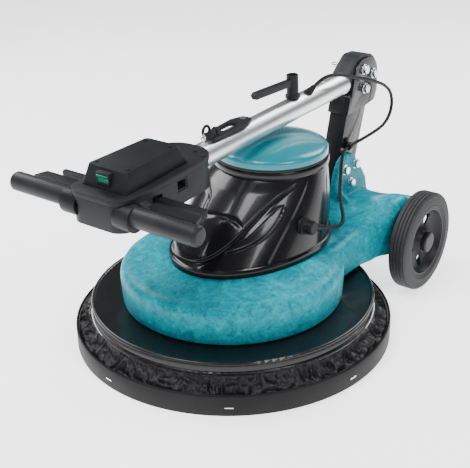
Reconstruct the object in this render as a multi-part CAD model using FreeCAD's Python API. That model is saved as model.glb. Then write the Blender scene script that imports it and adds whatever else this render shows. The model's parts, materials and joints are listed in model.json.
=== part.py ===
import FreeCAD, Part
import math
import os

# Single-disc rotary floor machine with a passive dust ring, handle folded forward for storage.
# Millimetres.  X is across the machine, -Y is the front, +Y the rear (wheels and mast), +Z is up.
# The origin is the centre of the pad's working face, on the floor.

# ---- driving dimensions -------------------------------------------------------------------
# pad, driver and dust ring
PAD_RADIUS = 254.0
PAD_THICKNESS = 24.0
PAD_HOLE_RADIUS = 40.0
PAD_RECESS = 16.0
LOCK_BOTTOM, LOCK_TOP = 4.0, 10.0
LOCK_HOLLOW_RADIUS, LOCK_HOLLOW_TOP = 24.0, 18.0
DRIVER_RADIUS = 246.0
DRIVER_THICKNESS = 14.0
DRIVER_BOSS_RADIUS = 60.0
DRIVER_BOSS_HEIGHT = 12.0
RING_RADIUS = 300.0
RING_HEIGHT = 40.0
RING_WALL = 4.0
RING_LIP = 9.0
RING_LIFT = 15.0
RING_LIP_THICKNESS = 3.0
SKIRT_CLEARANCE = 0.4
SKIRT_TO_LIP = 0.6

# deck and casting
DECK_RADIUS = 264.0
DECK_TOP = 80.0
DECK_SKIN = 6.0
DECK_RIM_HEIGHT = 20.0
DECK_BEAD = 4.0
HUB_RADIUS = 208.0
HUB_WALL = 12.0
HUB_SHOULDER_Z = 126.0
CASTING_TOP = 160.0
CASTING_SKIN = 10.0
ARM_WAIST = 156.0
ARM_HALF_WIDTH = 184.0
ARM_FLOOR = 86.0
ARM_ROOT_Y, ARM_WAIST_Y = 60.0, 205.0
ARM_ROOT_FLARE = 6.0
ARM_FLARE_BEFORE_AXLE = 55.0
ARM_BEHIND_AXLE = 91.0
HUMP_TOP = 200.0
HUMP_INNER = 126.0
HUMP_FRONT, HUMP_CREST_FRONT, HUMP_CREST_REAR = 112.0, 40.0, 16.0
HUMP_REAR_STEP = 6.0
CREST_RADIUS = 138.0
CREST_RISE = 18.0
EAR_FRONT, EAR_SHOULDER, EAR_CROWN_FRONT = 56.0, 54.0, 30.0
EAR_CROWN_REAR, EAR_REAR, EAR_REAR_STEP = 18.0, 52.0, 8.0
EAR_FRONT_RISE, EAR_REAR_RISE = 40.0, 44.0

# wheels
WHEEL_RADIUS = 101.5
TYRE_WIDTH = 39.0
TYRE_SEAT_RADIUS = 70.0
TYRE_EDGE = 3.0
WHEEL_GAP = 6.0
RIM_INNER_X = ARM_HALF_WIDTH + WHEEL_GAP
TYRE_TO_RING = 21.3363
WHEEL_Y = math.sqrt(RING_RADIUS ** 2 - RIM_INNER_X ** 2) + TYRE_TO_RING + WHEEL_RADIUS
ARM_REAR = WHEEL_Y + ARM_BEHIND_AXLE
RIM_HOLES, RIM_HOLE_RADIUS, RIM_HOLE_CIRCLE = 5, 13.0, 44.0
WHEEL_HUB_RADIUS = 21.0
RIM_WEB = 6.0
HUB_CAP_RADIUS, HUB_CAP_BORE, HUB_CAP_END = 20.9, 17.5, 6.0
HUB_CAP_WALL = 2.5
AXLE_RADIUS = 10.0
RUNNING_CLEARANCE = 0.05

# motor and cover
MOTOR_Y = 131.0
MOTOR_RADIUS = 74.0
MOTOR_HEIGHT = 118.0
MOTOR_SHAFT = 8.5
COVER_HALF_WIDTH = 137.0
COVER_FRONT = -122.0
COVER_MID = 75.0
COVER_REAR = 240.0
COVER_FLANGE = 14.0
COVER_WALL = 3.5
COVER_STEP = 5.0
COLLAR_RADIUS = 110.0
COLLAR_BOTTOM = 300.0
COLLAR_TOP = 317.0
LID_RADIUS = 108.0
LID_EDGE_TOP = 336.0
LID_TOP = 351.0
LID_WALL = 3.0
LID_BEVEL = 5.0
LID_RIM = 8.0
LID_CROWN = 30.0

# spindle and belt drive
SPINDLE_RADIUS = 12.5
BEARING_RADIUS = 26.0
BEARING_WIDTH = 15.0
HOUSING_RADIUS = 44.0
SPINDLE_PULLEY_RADIUS = 64.0
MOTOR_PULLEY_RADIUS = 32.0
PULLEY_BOTTOM = 110.0
BELT_WIDTH = 18.0
BELT_THICKNESS = 4.0
BELT_GAP = 0.4

# mast
FOOT_BEHIND_AXLE = 13.5
PIVOT_BEHIND_FOOT = 74.5
FOOT_Y, FOOT_Z = WHEEL_Y + FOOT_BEHIND_AXLE, 207.5
PIVOT_Y, PIVOT_Z = FOOT_Y + PIVOT_BEHIND_FOOT, 394.0
MAST_HALF_WIDTH = 20.0
MAST_SHEET = 3.0
PLATE_THICKNESS = 4.0
PLATE_RADIUS = 41.0
EAR_THICKNESS = 12.0
BOLT_CIRCLE = 24.0
BOLT_RADIUS = 5.0
PIVOT_HUB_RADIUS = 31.0
KNUCKLE_RADIUS = 48.0
KNUCKLE_SIDE_GAP = 0.6
KNUCKLE_SEAM_X = 8.0

# handle, given with its tube level and tilted about the pivot at the end
HANDLE_TILT = 2.3
TUBE_RADIUS = 22.5
TUBE_WALL = 2.5
TUBE_BEFORE_PIVOT = 65.0
TUBE_REAR = PIVOT_Y - TUBE_BEFORE_PIVOT
TUBE_FRONT = -240.0
HEAD_FRONT = -340.0
HEAD_REAR = -96.0
HEAD_HALF_WIDTH = 61.0
HEAD_DEPTH = 28.0
HEAD_SEAM = 18.5
HEAD_LID = 27.0
HEAD_WALL = 3.0
HEAD_OVERHANG = 2.0
HEAD_LAND = 8.0
HEAD_REAR_TAPER = 5.0
WIRING_HOLE_HALF_WIDTHS = (30.0, 26.0)
WIRING_HOLE_FRONT, WIRING_HOLE_REAR = -295.0, -180.0
BOX_TOP = 59.0
BOX_WALL = 2.5
BOX_FOOT = (48.0, 42.0, -315.0, -158.0)
BOX_CROWN = (41.0, 35.0, -303.0, -172.0)
BOX_CORNERS = [5.0, 5.0, 8.0, 8.0]
GRIP_RADIUS = 16.5
GRIP_WALL = 3.5
GRIP_Y = -323.0
GRIP_RISE = 2.0
GRIP_END = 198.0
GRIP_CAP = 8.0
GRIP_HOLE_X = 184.0
GRIP_HOLE_RADIUS, GRIP_HOLE_LEAN = 4.0, 10.0
LEVER_Y = -257.0
LEVER_END = 150.0
LEVER_SIZE = 12.0
LEVER_PIN_X = 50.0
PADDLE_Y = -302.0
PADDLE_RISE = 9.0
PADDLE_END = 166.0
PADDLE_WIDTH = 22.0
PADDLE_THICKNESS = 3.0
HOOK_Y = 203.0
HOOK_RADIUS = 11.5
HOOK_TOP = 68.0
HOOK_REACH = 127.0
HOOK_GAP = 0.4
HOOK_WALL = 3.0
HOOK_CUP = 12.0
HOOK_ARM_HALF = 5.0
CLIP_FRONT = -58.0
CLIP_REAR = 58.0
CLIP_GAP = 0.2
CLIP_HALF_WIDTHS = (15.0, 20.0, 10.0)
SLOT_HALF, SLOT_FRONT, SLOT_REAR = 9.0, -22.0, 20.0
LOOP_X, LOOP_RADIUS, LOOP_WIRE = 9.0, 9.0, 2.6

# cord from the handle tube to the motor socket
CORD_RADIUS = 3.5
SOCKET_Y, SOCKET_Z = 58.0, 222.0
SOCKET_FACE_X = 124.0
PLUG_LENGTH = 22.0
PLUG_X = 134.0
PLUG_RADIUS = 16.0
CORD_ROUTE = [
    (12.0, 258.0, 416.0),
    (17.0, 276.0, 428.0),
    (24.0, 304.0, 431.0),
    (31.0, 334.0, 424.0),
    (37.0, 367.0, 413.0),
    (42.0, 402.0, 402.0),
    (45.0, 440.0, 388.0),
    (47.0, 478.0, 372.0),
    (48.0, 508.0, 347.0),
    (47.0, 514.0, 310.0),
    (45.0, 492.0, 283.0),
    (42.0, 456.0, 275.0),
    (36.0, 418.0, 269.0),
    (30.0, 384.0, 264.3),
    (30.0, 352.0, 263.7),
    (39.0, 323.0, 252.0),
    (52.0, 300.0, 228.0),
    (66.0, 274.0, 204.0),
    (88.0, 246.0, 187.0),
    (113.0, 214.0, 179.0),
    (131.0, 177.0, 181.0),
    (134.0, 141.0, 190.0),
    (134.0, 104.5, 204.0),
]

# screws and bolts
SCREW_RADIUS = 3.0
SCREW_HEAD_RADIUS = 5.5
SCREW_HEAD = 4.0
HOUSING_FLANGE_RADIUS = 88.0
HOUSING_FLANGE = 8.0
HOUSING_SCREW_CIRCLE = 74.0
RIM_SCREW_CIRCLE = HUB_RADIUS - HUB_WALL / 2
RIM_SCREW_DEPTH = 16.0
MOTOR_FLANGE_RADIUS = 92.0
MOTOR_FLANGE = 8.0
MOTOR_SCREW_CIRCLE = 84.0
MOTOR_SPIGOT_RADIUS = 40.0
RIM_SCREWS, HOUSING_SCREWS, MOTOR_SCREWS = 8, 6, 4
FOOT_BOLT_ANGLES = (33, 153, 273)
HEAD_BOLT_ANGLES = (7, 127, 247)
EAR_INNER = MAST_HALF_WIDTH + 1.0
EAR_OUTER = EAR_INNER + EAR_THICKNESS
WASHER_RADIUS = 11.0
WASHER = 2.0
BOLT_HEAD = 7.0
BOLT_ACROSS = 16.0
BOLT_LENGTH = 2 * EAR_OUTER + 2 * WASHER + BOLT_HEAD + 2

# heights of the drive, worked out from the pad up
DRIVER_BOTTOM = PAD_THICKNESS
DRIVER_TOP = DRIVER_BOTTOM + DRIVER_THICKNESS
BOSS_TOP = DRIVER_TOP + DRIVER_BOSS_HEIGHT
SPINDLE_FLANGE = 8.0
SPINDLE_FLANGE_RADIUS = 34.0
BEARING_LIP = 5.0
PULLEY_FLANGE = 1.6
BELT_TO_FLANGE = 2.0
LOWER_BEARING = BOSS_TOP + SPINDLE_FLANGE + 4.0
UPPER_BEARING = LOWER_BEARING + BEARING_WIDTH + 8.0
HOUSING_TOP = UPPER_BEARING + BEARING_WIDTH + 3.0
PULLEY_TOP = PULLEY_BOTTOM + BELT_WIDTH + 4.0

# motor
MOTOR_BOTTOM = CASTING_TOP
MOTOR_TOP = MOTOR_BOTTOM + MOTOR_HEIGHT
MOTOR_WALL = 4.0
MOTOR_BEARING_RADIUS = 20.0
MOTOR_BEARING_WIDTH = 12.0
STATOR_BORE = 50.0
ROTOR_RADIUS = 49.0
CORE_BOTTOM = MOTOR_BOTTOM + 30.0
CORE_TOP = MOTOR_TOP - 24.0
FAN_BOTTOM = MOTOR_TOP + 5.0
FAN_TOP = FAN_BOTTOM + 10.0
CAPACITOR_RADIUS = 20.0
CAPACITOR_HEIGHT = 70.0
CAPACITOR_GAP = 6.0
FAN_RADIUS = 62.0
FAN_HUB_RADIUS = 20.0
FAN_PLATE = 3.0
FAN_BLADES = 9
BLADE_HALF_THICKNESS = 1.2

# motor socket and lid seal
SOCKET_BODY_RADIUS = 14.0
SOCKET_FLANGE_RADIUS = 17.0
SOCKET_FLANGE = 3.0
SOCKET_DEPTH = 24.0
PIN_DEPTH = 14.0
PIN_PLACES = ((-6, -3), (6, -3), (0, 6))
PIN_RADIUS = 2.4
SEAL_HEIGHT = 3.0

# axle and buffer
RIM_OUTER_X = RIM_INNER_X + TYRE_WIDTH
HUB_OUTER_X = RIM_OUTER_X - 7.0
CLIP_THICKNESS = 1.6
AXLE_END = HUB_OUTER_X + CLIP_THICKNESS + 3.0
AXLE_CLIP_RADIUS = 15.0
AXLE_CLIP_GAP = 0.3
CLIP_INNER_X = HUB_OUTER_X + AXLE_CLIP_GAP
BUFFER_X, BUFFER_BEFORE_AXLE = 134.0, 37.0
BUFFER_RADIUS = 11.0
BUFFER_BOTTOM = ARM_FLOOR - 22.0

# mast heights and the clip that holds the cord
MAST_BOTTOM = CASTING_TOP
MAST_TOP = 338.0
BRACKET_BOTTOM = 330.0
WEB_TOP = 364.0
BRACKET_HEEL, BRACKET_BELLY = 33.0, 43.0
MAST_FRONT_AT_FOOT, MAST_FRONT_SLOPE = 33.5, 0.2966
MAST_REAR_AT_FOOT, MAST_REAR_SLOPE = 36.5, 0.338
CLIP_BEFORE_FOOT = 0.5
CLIP_Y, CLIP_Z = FOOT_Y - CLIP_BEFORE_FOOT, 264.0
CLIP_STAND_OFF = 10.0
CLIP_HALF_LENGTH = 6.0
CLIP_PLATE = 3.0
CLIP_SCREW_RISE = 11.0
CLIP_SCREW_RADIUS = 4.5

# handle fittings
AXIS_Z = PIVOT_Z
KNUCKLE_HALF_WIDTH = MAST_HALF_WIDTH - KNUCKLE_SIDE_GAP
NECK_DROP = 13.0
SPIGOT_LENGTH = 45.0
GROMMET_X, GROMMET_Y = 8.0, 246.0
GROMMET_RADIUS = 6.5
TUBE_SCREW_ROWS = (282.0, 308.0)
TUBE_SCREW_RADIUS, TUBE_SCREW_HEAD, TUBE_SCREW_DEPTH = 2.0, 3.6, 8.0
EYE_Y = CLIP_FRONT - 12.0
EYE_RADIUS, EYE_WIRE, EYE_RISE = 5.0, 1.6, 7.0
CLIP_PIN_HEAD = 5.5
CLIP_PIN_Y = CLIP_REAR - 14.0
CLIP_PIN_RADIUS = 3.0
CLIP_THICKNESS_UP = 6.0
HOOK_PIN_RADIUS = 6.0

# head, grips and switch
FLANGE_SCREWS = ((48.0, -128.0), (22.0, -118.0))
BOX_SCREWS = ((33.0, -290.0), (27.0, -184.0))
HEAD_SCREW_RADIUS, HEAD_SCREW_RISE = 3.0, 1.2
MICROSWITCH_HALF, MICROSWITCH_FRONT, MICROSWITCH_REAR = 10.0, -272.0, -244.0
GRIP_BOSS_RADIUS = 21.5
GRIP_BOSS_END = 73.0
GRIP_ROOT = 55.0
GRIP_BOSS_ROOT, GRIP_BOSS_DROP = 40.0, 4.0
SIDE_CUT_ROOT = 45.0
LEVER_SLOT_FRONT, LEVER_SLOT_REAR = 13.0, 10.0
LEVER_BOSS_RADIUS, LEVER_GAP = 7.0, 0.4
LEVER_SLOT_HALF = 9.0
LEVER_PIN_RADIUS = 3.0
PADDLE_SHAFT_RADIUS = 3.0
INLET_Y = -197.0
INLET_HALF = 13.0
INLET_HEIGHT = 20.0
INLET_DROP = 5.0
INLET_WALL = 3.0
INLET_ROOT, INLET_FACE = 34.0, HEAD_HALF_WIDTH - 4.0
SWITCH_HALF = 14.0
SWITCH_BOTTOM = AXIS_Z + 35.0
SWITCH_TOP = AXIS_Z + 55.0
SWITCH_FRONT = -314.0
SWITCH_DEPTH, SWITCH_POCKET, SWITCH_WALL = 34.0, 20.0, 2.5
ROCKER_HALF = 11.0
ROCKER_PIN_REACH = ROCKER_HALF + 1.8
ROCKER_Z = (SWITCH_BOTTOM + SWITCH_TOP) / 2
ROCKER_Y = -306.0
ROCKER_PIN = 2.0

# boots on the cord
BOOT_RADIUS = 8.5
BOOT_TIP_RADIUS = 5.0
BOOT_LENGTH = 21.0
PLUG_BOOT_RADIUS = 9.0


# ---- helpers ------------------------------------------------------------------------------
def vec(x, y, z):
    return FreeCAD.Vector(x, y, z)


def rod(radius, start, end):
    path = end - start
    return Part.makeCylinder(radius, path.Length, start, path)


def hollow_rod(outer, inner, start, end):
    return rod(outer, start, end).cut(rod(inner, start, end))


def block(x0, x1, y0, y1, z0, z1):
    return Part.makeBox(x1 - x0, y1 - y0, z1 - z0, vec(x0, y0, z0))


def fuse(shapes):
    return shapes[0].multiFuse(shapes[1:]).removeSplitter()


def group(shapes):
    return Part.makeCompound(shapes)


def mirrored(shape):
    return shape.mirror(vec(0, 0, 0), vec(1, 0, 0))


def rounded_wire(points, radii):
    """A closed wire through 3-D corner points, each corner turned with its own radius."""
    edges = []
    count = len(points)
    starts, ends, middles = [], [], []
    for i, corner in enumerate(points):
        if radii[i] == 0:
            starts.append(corner)
            ends.append(corner)
            middles.append(corner)
            continue
        to_last = (points[i - 1] - corner).normalize()
        to_next = (points[(i + 1) % count] - corner).normalize()
        half = to_last.getAngle(to_next) / 2
        reach = radii[i] / math.tan(half)
        bisector = (to_last + to_next).normalize()
        starts.append(corner + to_last * reach)
        ends.append(corner + to_next * reach)
        middles.append(corner + bisector * (radii[i] / math.sin(half) - radii[i]))
    for i in range(count):
        if radii[i] > 0:
            edges.append(Part.Arc(starts[i], middles[i], ends[i]).toShape())
        following = starts[(i + 1) % count]
        if ends[i].distanceToPoint(following) > 1e-6:
            edges.append(Part.LineSegment(ends[i], following).toShape())
    return Part.Wire(edges)


def radii_for(points, radius):
    return list(radius) if isinstance(radius, (list, tuple)) else [radius] * len(points)


def plan(points, radius, z0, z1):
    """Extrude a rounded (x, y) outline from z0 up to z1."""
    wire = rounded_wire([vec(x, y, z0) for x, y in points], radii_for(points, radius))
    return Part.Face(wire).extrude(vec(0, 0, z1 - z0))


def profile(points, radius, x0, x1):
    """Extrude a rounded (y, z) outline from x0 to x1."""
    wire = rounded_wire([vec(x0, y, z) for y, z in points], radii_for(points, radius))
    return Part.Face(wire).extrude(vec(x1 - x0, 0, 0))


def lathe(points, radius=0.0, y=0.0):
    """Turn a rounded (r, z) outline about the vertical line at x=0 and the given y."""
    wire = rounded_wire([vec(r, y, z) for r, z in points], radii_for(points, radius))
    return Part.Face(wire).revolve(vec(0, y, 0), vec(0, 0, 1), 360)


def wheel_lathe(points, radius, side):
    """Turn a rounded (x, r) outline about the axle; side is +1 or -1."""
    corners = [vec(side * x, WHEEL_Y, WHEEL_RADIUS + r) for x, r in points]
    wire = rounded_wire(corners, radii_for(points, radius))
    return Part.Face(wire).revolve(vec(0, WHEEL_Y, WHEEL_RADIUS), vec(1, 0, 0), 360)


def hexagon(across, start, end):
    """A hexagonal prism between two points on the X axis direction."""
    corner = across / math.sqrt(3)
    corners = [vec(start.x, start.y + corner * math.cos(math.radians(a)),
                   start.z + corner * math.sin(math.radians(a))) for a in range(0, 360, 60)]
    wire = Part.makePolygon(corners + [corners[0]])
    return Part.Face(wire).extrude(end - start)


def on_circle(centre_y, centre_z, radius, degrees):
    angle = math.radians(degrees)
    return centre_y + radius * math.cos(angle), centre_z + radius * math.sin(angle)


def around(radius, count, first=0.0):
    for i in range(count):
        angle = math.radians(first + 360.0 * i / count)
        yield radius * math.cos(angle), radius * math.sin(angle)


parts = {}


# ---- casting, deck and drive --------------------------------------------------------------


def arm_outline(inset):
    """The arm seen from above, from inside the hub back to the wheels."""
    half, waist = ARM_HALF_WIDTH - inset, ARM_WAIST - inset
    flare_y = WHEEL_Y - ARM_FLARE_BEFORE_AXLE
    right = [(waist + ARM_ROOT_FLARE, ARM_ROOT_Y), (waist, ARM_WAIST_Y), (half, flare_y),
             (half, ARM_REAR - inset)]
    left = [(-x, y) for x, y in reversed(right)]
    return right + left


def ear_outline():
    """The upright ear that holds the mast's foot, in (y, z)."""
    base = CASTING_TOP - CASTING_SKIN
    return [(FOOT_Y - EAR_FRONT, base), (FOOT_Y - EAR_SHOULDER, FOOT_Z),
            (FOOT_Y - EAR_CROWN_FRONT, FOOT_Z + EAR_FRONT_RISE),
            (FOOT_Y + EAR_CROWN_REAR, FOOT_Z + EAR_REAR_RISE),
            (FOOT_Y + EAR_REAR, FOOT_Z + 2), (ARM_REAR - EAR_REAR_STEP, base)]


def hump(inset):
    """The shoulder beside each wheel, in (y, z)."""
    base = CASTING_TOP - CASTING_SKIN
    top = HUMP_TOP - inset
    return [(WHEEL_Y - HUMP_FRONT, base), (WHEEL_Y - HUMP_CREST_FRONT, top),
            (WHEEL_Y + HUMP_CREST_REAR, top), (ARM_REAR - HUMP_REAR_STEP, base)]


def casting():
    floor, top = DECK_TOP, CASTING_TOP
    bell = lathe([(0, floor), (HUB_RADIUS, floor), (HUB_RADIUS, HUB_SHOULDER_Z + CREST_RISE),
                  (CREST_RADIUS, top), (0, top)], [0, 0, 24, 30, 0])
    arm_radii = [0, 130, 60, 45, 45, 60, 130, 0]
    arm = plan(arm_outline(0), arm_radii, ARM_FLOOR, top)
    solids = [bell, arm]
    for side in (1, -1):
        inner, outer = sorted((side * HUMP_INNER, side * ARM_HALF_WIDTH))
        solids.append(profile(hump(0), [20, 30, 30, 20], inner, outer))
        ear_inner, ear_outer = sorted((side * EAR_INNER, side * EAR_OUTER))
        solids.append(profile(ear_outline(), [0, 20, 24, 24, 20, 0], ear_inner, ear_outer))
    body = fuse(solids)
    ceiling = top - CASTING_SKIN
    inner_radius = HUB_RADIUS - HUB_WALL
    bell_room = lathe([(0, floor - 1), (inner_radius, floor - 1), (inner_radius, HUB_SHOULDER_Z),
                       (CREST_RADIUS - CASTING_SKIN + 2, ceiling), (0, ceiling)])
    arm_room = plan(arm_outline(CASTING_SKIN), [0, 120, 50, 35, 35, 50, 120, 0],
                    ARM_FLOOR - 1, ceiling)
    arm_room = arm_room.cut(rod(HUB_RADIUS, vec(0, 0, floor - 2), vec(0, 0, top)))
    arm_room = arm_room.cut(block(-inner_radius, inner_radius, 0, ARM_WAIST_Y, floor - 2, top))
    body = body.cut(bell_room).cut(arm_room)
    spigot_floor = HUB_SHOULDER_Z + 8
    body = body.cut(rod(MOTOR_SPIGOT_RADIUS, vec(0, MOTOR_Y, spigot_floor), vec(0, MOTOR_Y, top + 1)))
    body = body.cut(rod(AXLE_RADIUS, vec(-ARM_HALF_WIDTH - 1, WHEEL_Y, WHEEL_RADIUS),
                        vec(ARM_HALF_WIDTH + 1, WHEEL_Y, WHEEL_RADIUS)))
    for x, y in around(RIM_SCREW_CIRCLE, RIM_SCREWS, 180.0 / RIM_SCREWS):
        body = body.cut(rod(SCREW_RADIUS, vec(x, y, floor - 1), vec(x, y, floor + RIM_SCREW_DEPTH)))
    for x, y in around(MOTOR_SCREW_CIRCLE, MOTOR_SCREWS, 45):
        body = body.cut(rod(SCREW_RADIUS, vec(x, MOTOR_Y + y, ceiling - 1),
                            vec(x, MOTOR_Y + y, top + 1)))
    for angle in FOOT_BOLT_ANGLES:
        y, z = on_circle(FOOT_Y, FOOT_Z, BOLT_CIRCLE, angle)
        body = body.cut(rod(BOLT_RADIUS, vec(-EAR_OUTER - 1, y, z), vec(EAR_OUTER + 1, y, z)))
    return body


def deck():
    skin_bottom = DECK_TOP - DECK_SKIN
    rim_bottom = DECK_TOP - DECK_RIM_HEIGHT
    inner = DECK_RADIUS - DECK_BEAD
    plate = lathe([(HOUSING_RADIUS, skin_bottom), (inner, skin_bottom), (inner, rim_bottom),
                   (DECK_RADIUS, rim_bottom), (DECK_RADIUS, DECK_TOP), (HOUSING_RADIUS, DECK_TOP)])
    beads = [Part.makeTorus(DECK_RADIUS, DECK_BEAD, vec(0, 0, DECK_TOP - 1)),
             Part.makeTorus(DECK_RADIUS, DECK_BEAD, vec(0, 0, rim_bottom))]
    plate = fuse([plate] + beads)
    for x, y in around(RIM_SCREW_CIRCLE, RIM_SCREWS, 180.0 / RIM_SCREWS):
        plate = plate.cut(rod(SCREW_RADIUS, vec(x, y, 0), vec(x, y, DECK_TOP + 1)))
    for x, y in around(HOUSING_SCREW_CIRCLE, HOUSING_SCREWS):
        plate = plate.cut(rod(SCREW_RADIUS, vec(x, y, 0), vec(x, y, DECK_TOP + 1)))
    return plate


def cap_screw(x, y, seat, shank, up):
    """A screw whose head sits on the face at height seat; up is +1 if its head is above."""
    tip = seat - up * shank
    head = rod(SCREW_HEAD_RADIUS, vec(x, y, seat), vec(x, y, seat + up * SCREW_HEAD))
    return head.fuse(rod(SCREW_RADIUS, vec(x, y, tip), vec(x, y, seat)))


def chassis_screws():
    skin_bottom = DECK_TOP - DECK_SKIN
    screws = [cap_screw(x, y, skin_bottom, DECK_SKIN + RIM_SCREW_DEPTH, -1)
              for x, y in around(RIM_SCREW_CIRCLE, RIM_SCREWS, 180.0 / RIM_SCREWS)]
    screws += [cap_screw(x, y, DECK_TOP + HOUSING_FLANGE, HOUSING_FLANGE + DECK_SKIN, 1)
               for x, y in around(HOUSING_SCREW_CIRCLE, HOUSING_SCREWS)]
    screws += [cap_screw(x, MOTOR_Y + y, CASTING_TOP + MOTOR_FLANGE, MOTOR_FLANGE + CASTING_SKIN, 1)
               for x, y in around(MOTOR_SCREW_CIRCLE, MOTOR_SCREWS, 45)]
    return group(screws)


def bearing(bore, outer, width, bottom, y):
    """A ball bearing as one closed ring with grooves that mark its two races."""
    top = bottom + width
    middle = (bore + outer) / 2
    groove = 1.5
    points = [(bore, bottom), (middle - groove, bottom), (middle, bottom + groove),
              (middle + groove, bottom), (outer, bottom), (outer, top), (middle + groove, top),
              (middle, top - groove), (middle - groove, top), (bore, top)]
    return lathe(points, 0.0, y)


def spindle_housing():
    seat, lip = BEARING_RADIUS, BEARING_RADIUS - BEARING_LIP
    points = [(seat, LOWER_BEARING), (HOUSING_RADIUS, LOWER_BEARING), (HOUSING_RADIUS, DECK_TOP),
              (HOUSING_FLANGE_RADIUS, DECK_TOP), (HOUSING_FLANGE_RADIUS, DECK_TOP + HOUSING_FLANGE),
              (HOUSING_RADIUS, DECK_TOP + HOUSING_FLANGE), (HOUSING_RADIUS, HOUSING_TOP),
              (seat, HOUSING_TOP), (seat, UPPER_BEARING), (lip, UPPER_BEARING),
              (lip, LOWER_BEARING + BEARING_WIDTH), (seat, LOWER_BEARING + BEARING_WIDTH)]
    shell = lathe(points)
    for x, y in around(HOUSING_SCREW_CIRCLE, HOUSING_SCREWS):
        shell = shell.cut(rod(SCREW_RADIUS, vec(x, y, DECK_TOP - 1),
                              vec(x, y, DECK_TOP + HOUSING_FLANGE + 1)))
    return shell


def spindle():
    flange_top = BOSS_TOP + SPINDLE_FLANGE
    return lathe([(0, BOSS_TOP), (SPINDLE_FLANGE_RADIUS, BOSS_TOP),
                  (SPINDLE_FLANGE_RADIUS, flange_top),
                  (SPINDLE_RADIUS - RUNNING_CLEARANCE, flange_top),
                  (SPINDLE_RADIUS - RUNNING_CLEARANCE, PULLEY_TOP), (0, PULLEY_TOP)])


def pulley(radius, bore, bottom, top, y):
    """A ribbed belt pulley with a shallow flange at each end."""
    flange = radius + BELT_THICKNESS + 1.5
    return lathe([(bore, bottom), (flange, bottom), (flange, bottom + PULLEY_FLANGE),
                  (radius, bottom + PULLEY_FLANGE), (radius, top - PULLEY_FLANGE),
                  (flange, top - PULLEY_FLANGE), (flange, top), (bore, top)], 0.0, y)


def belt_loop(grow, z0, z1):
    """The solid inside a belt loop that stands off both pulleys by grow."""
    big, small = SPINDLE_PULLEY_RADIUS + grow, MOTOR_PULLEY_RADIUS + grow
    lean = math.asin((big - small) / MOTOR_Y)
    cos, sin = math.cos(lean), math.sin(lean)
    a, b = vec(big * cos, big * sin, z0), vec(small * cos, MOTOR_Y + small * sin, z0)
    c, d = vec(-b.x, b.y, z0), vec(-a.x, a.y, z0)
    edges = [Part.LineSegment(a, b).toShape(), Part.Arc(b, vec(0, MOTOR_Y + small, z0), c).toShape(),
             Part.LineSegment(c, d).toShape(), Part.Arc(d, vec(0, -big, z0), a).toShape()]
    return Part.Face(Part.Wire(edges)).extrude(vec(0, 0, z1 - z0))


def drive_belt():
    z0 = PULLEY_BOTTOM + BELT_TO_FLANGE
    z1 = z0 + BELT_WIDTH
    return belt_loop(BELT_GAP + BELT_THICKNESS - 1, z0, z1).cut(belt_loop(BELT_GAP, z0, z1))


def pad_driver():
    return lathe([(0, DRIVER_BOTTOM), (DRIVER_RADIUS, DRIVER_BOTTOM), (DRIVER_RADIUS, DRIVER_TOP),
                  (DRIVER_BOSS_RADIUS, DRIVER_TOP), (DRIVER_BOSS_RADIUS, BOSS_TOP), (0, BOSS_TOP)],
                 [0, 0, 4, 6, 2, 0])


def floor_pad():
    recess = PAD_HOLE_RADIUS + PAD_RECESS
    return lathe([(recess, 0), (PAD_RADIUS, 0), (PAD_RADIUS, PAD_THICKNESS),
                  (PAD_HOLE_RADIUS, PAD_THICKNESS), (PAD_HOLE_RADIUS, LOCK_TOP), (recess, LOCK_TOP)],
                 [0, 5, 5, 0, 0, 0])


def pad_lock():
    rim = PAD_HOLE_RADIUS + PAD_RECESS - 2
    sleeve = PAD_HOLE_RADIUS - 1
    return lathe([(0, LOCK_HOLLOW_TOP), (LOCK_HOLLOW_RADIUS, LOCK_HOLLOW_TOP),
                  (LOCK_HOLLOW_RADIUS, LOCK_BOTTOM),
                  (rim, LOCK_BOTTOM), (rim, LOCK_TOP), (sleeve, LOCK_TOP),
                  (sleeve, DRIVER_BOTTOM), (0, DRIVER_BOTTOM)], [0, 0, 2, 2, 2, 0, 0, 0])


def dust_ring():
    inner = RING_RADIUS - RING_WALL
    lip = RING_RADIUS - RING_LIP
    return lathe([(inner, 0), (RING_RADIUS, 0), (RING_RADIUS, RING_HEIGHT), (lip, RING_HEIGHT),
                  (lip, RING_HEIGHT - RING_LIP_THICKNESS), (inner, RING_HEIGHT - RING_LIP_THICKNESS)],
                 [0, 2, 2, 1, 1, 1])


def dust_skirt():
    """Gathered cloth between the deck's lower bead and the ring's lip."""
    inside = DECK_RADIUS + DECK_BEAD + SKIRT_CLEARANCE
    outside = RING_RADIUS - RING_LIP - SKIRT_TO_LIP
    top = DECK_TOP - DECK_RIM_HEIGHT + 1
    bottom = RING_HEIGHT - 8
    return lathe([(inside, bottom + 4), (outside, bottom), (outside, RING_HEIGHT + 2),
                  (inside + 6, top), (inside, top)], [1, 3, 4, 3, 1])


parts["chassis_casting"] = casting()
parts["deck_plate"] = deck()
parts["chassis_screws"] = chassis_screws()
parts["spindle_housing"] = spindle_housing()
parts["spindle_bearings"] = group([
    bearing(SPINDLE_RADIUS, BEARING_RADIUS, BEARING_WIDTH, z, 0) for z in (LOWER_BEARING, UPPER_BEARING)])
parts["drive_spindle"] = spindle()
parts["spindle_pulley"] = pulley(SPINDLE_PULLEY_RADIUS, SPINDLE_RADIUS - RUNNING_CLEARANCE,
                                 PULLEY_BOTTOM, PULLEY_TOP, 0)
parts["drive_belt"] = drive_belt()
parts["pad_driver"] = pad_driver()
parts["floor_pad"] = floor_pad()
parts["pad_lock"] = pad_lock()
parts["dust_ring"] = dust_ring()
parts["dust_skirt"] = dust_skirt()

# ---- motor --------------------------------------------------------------------------------


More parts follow.
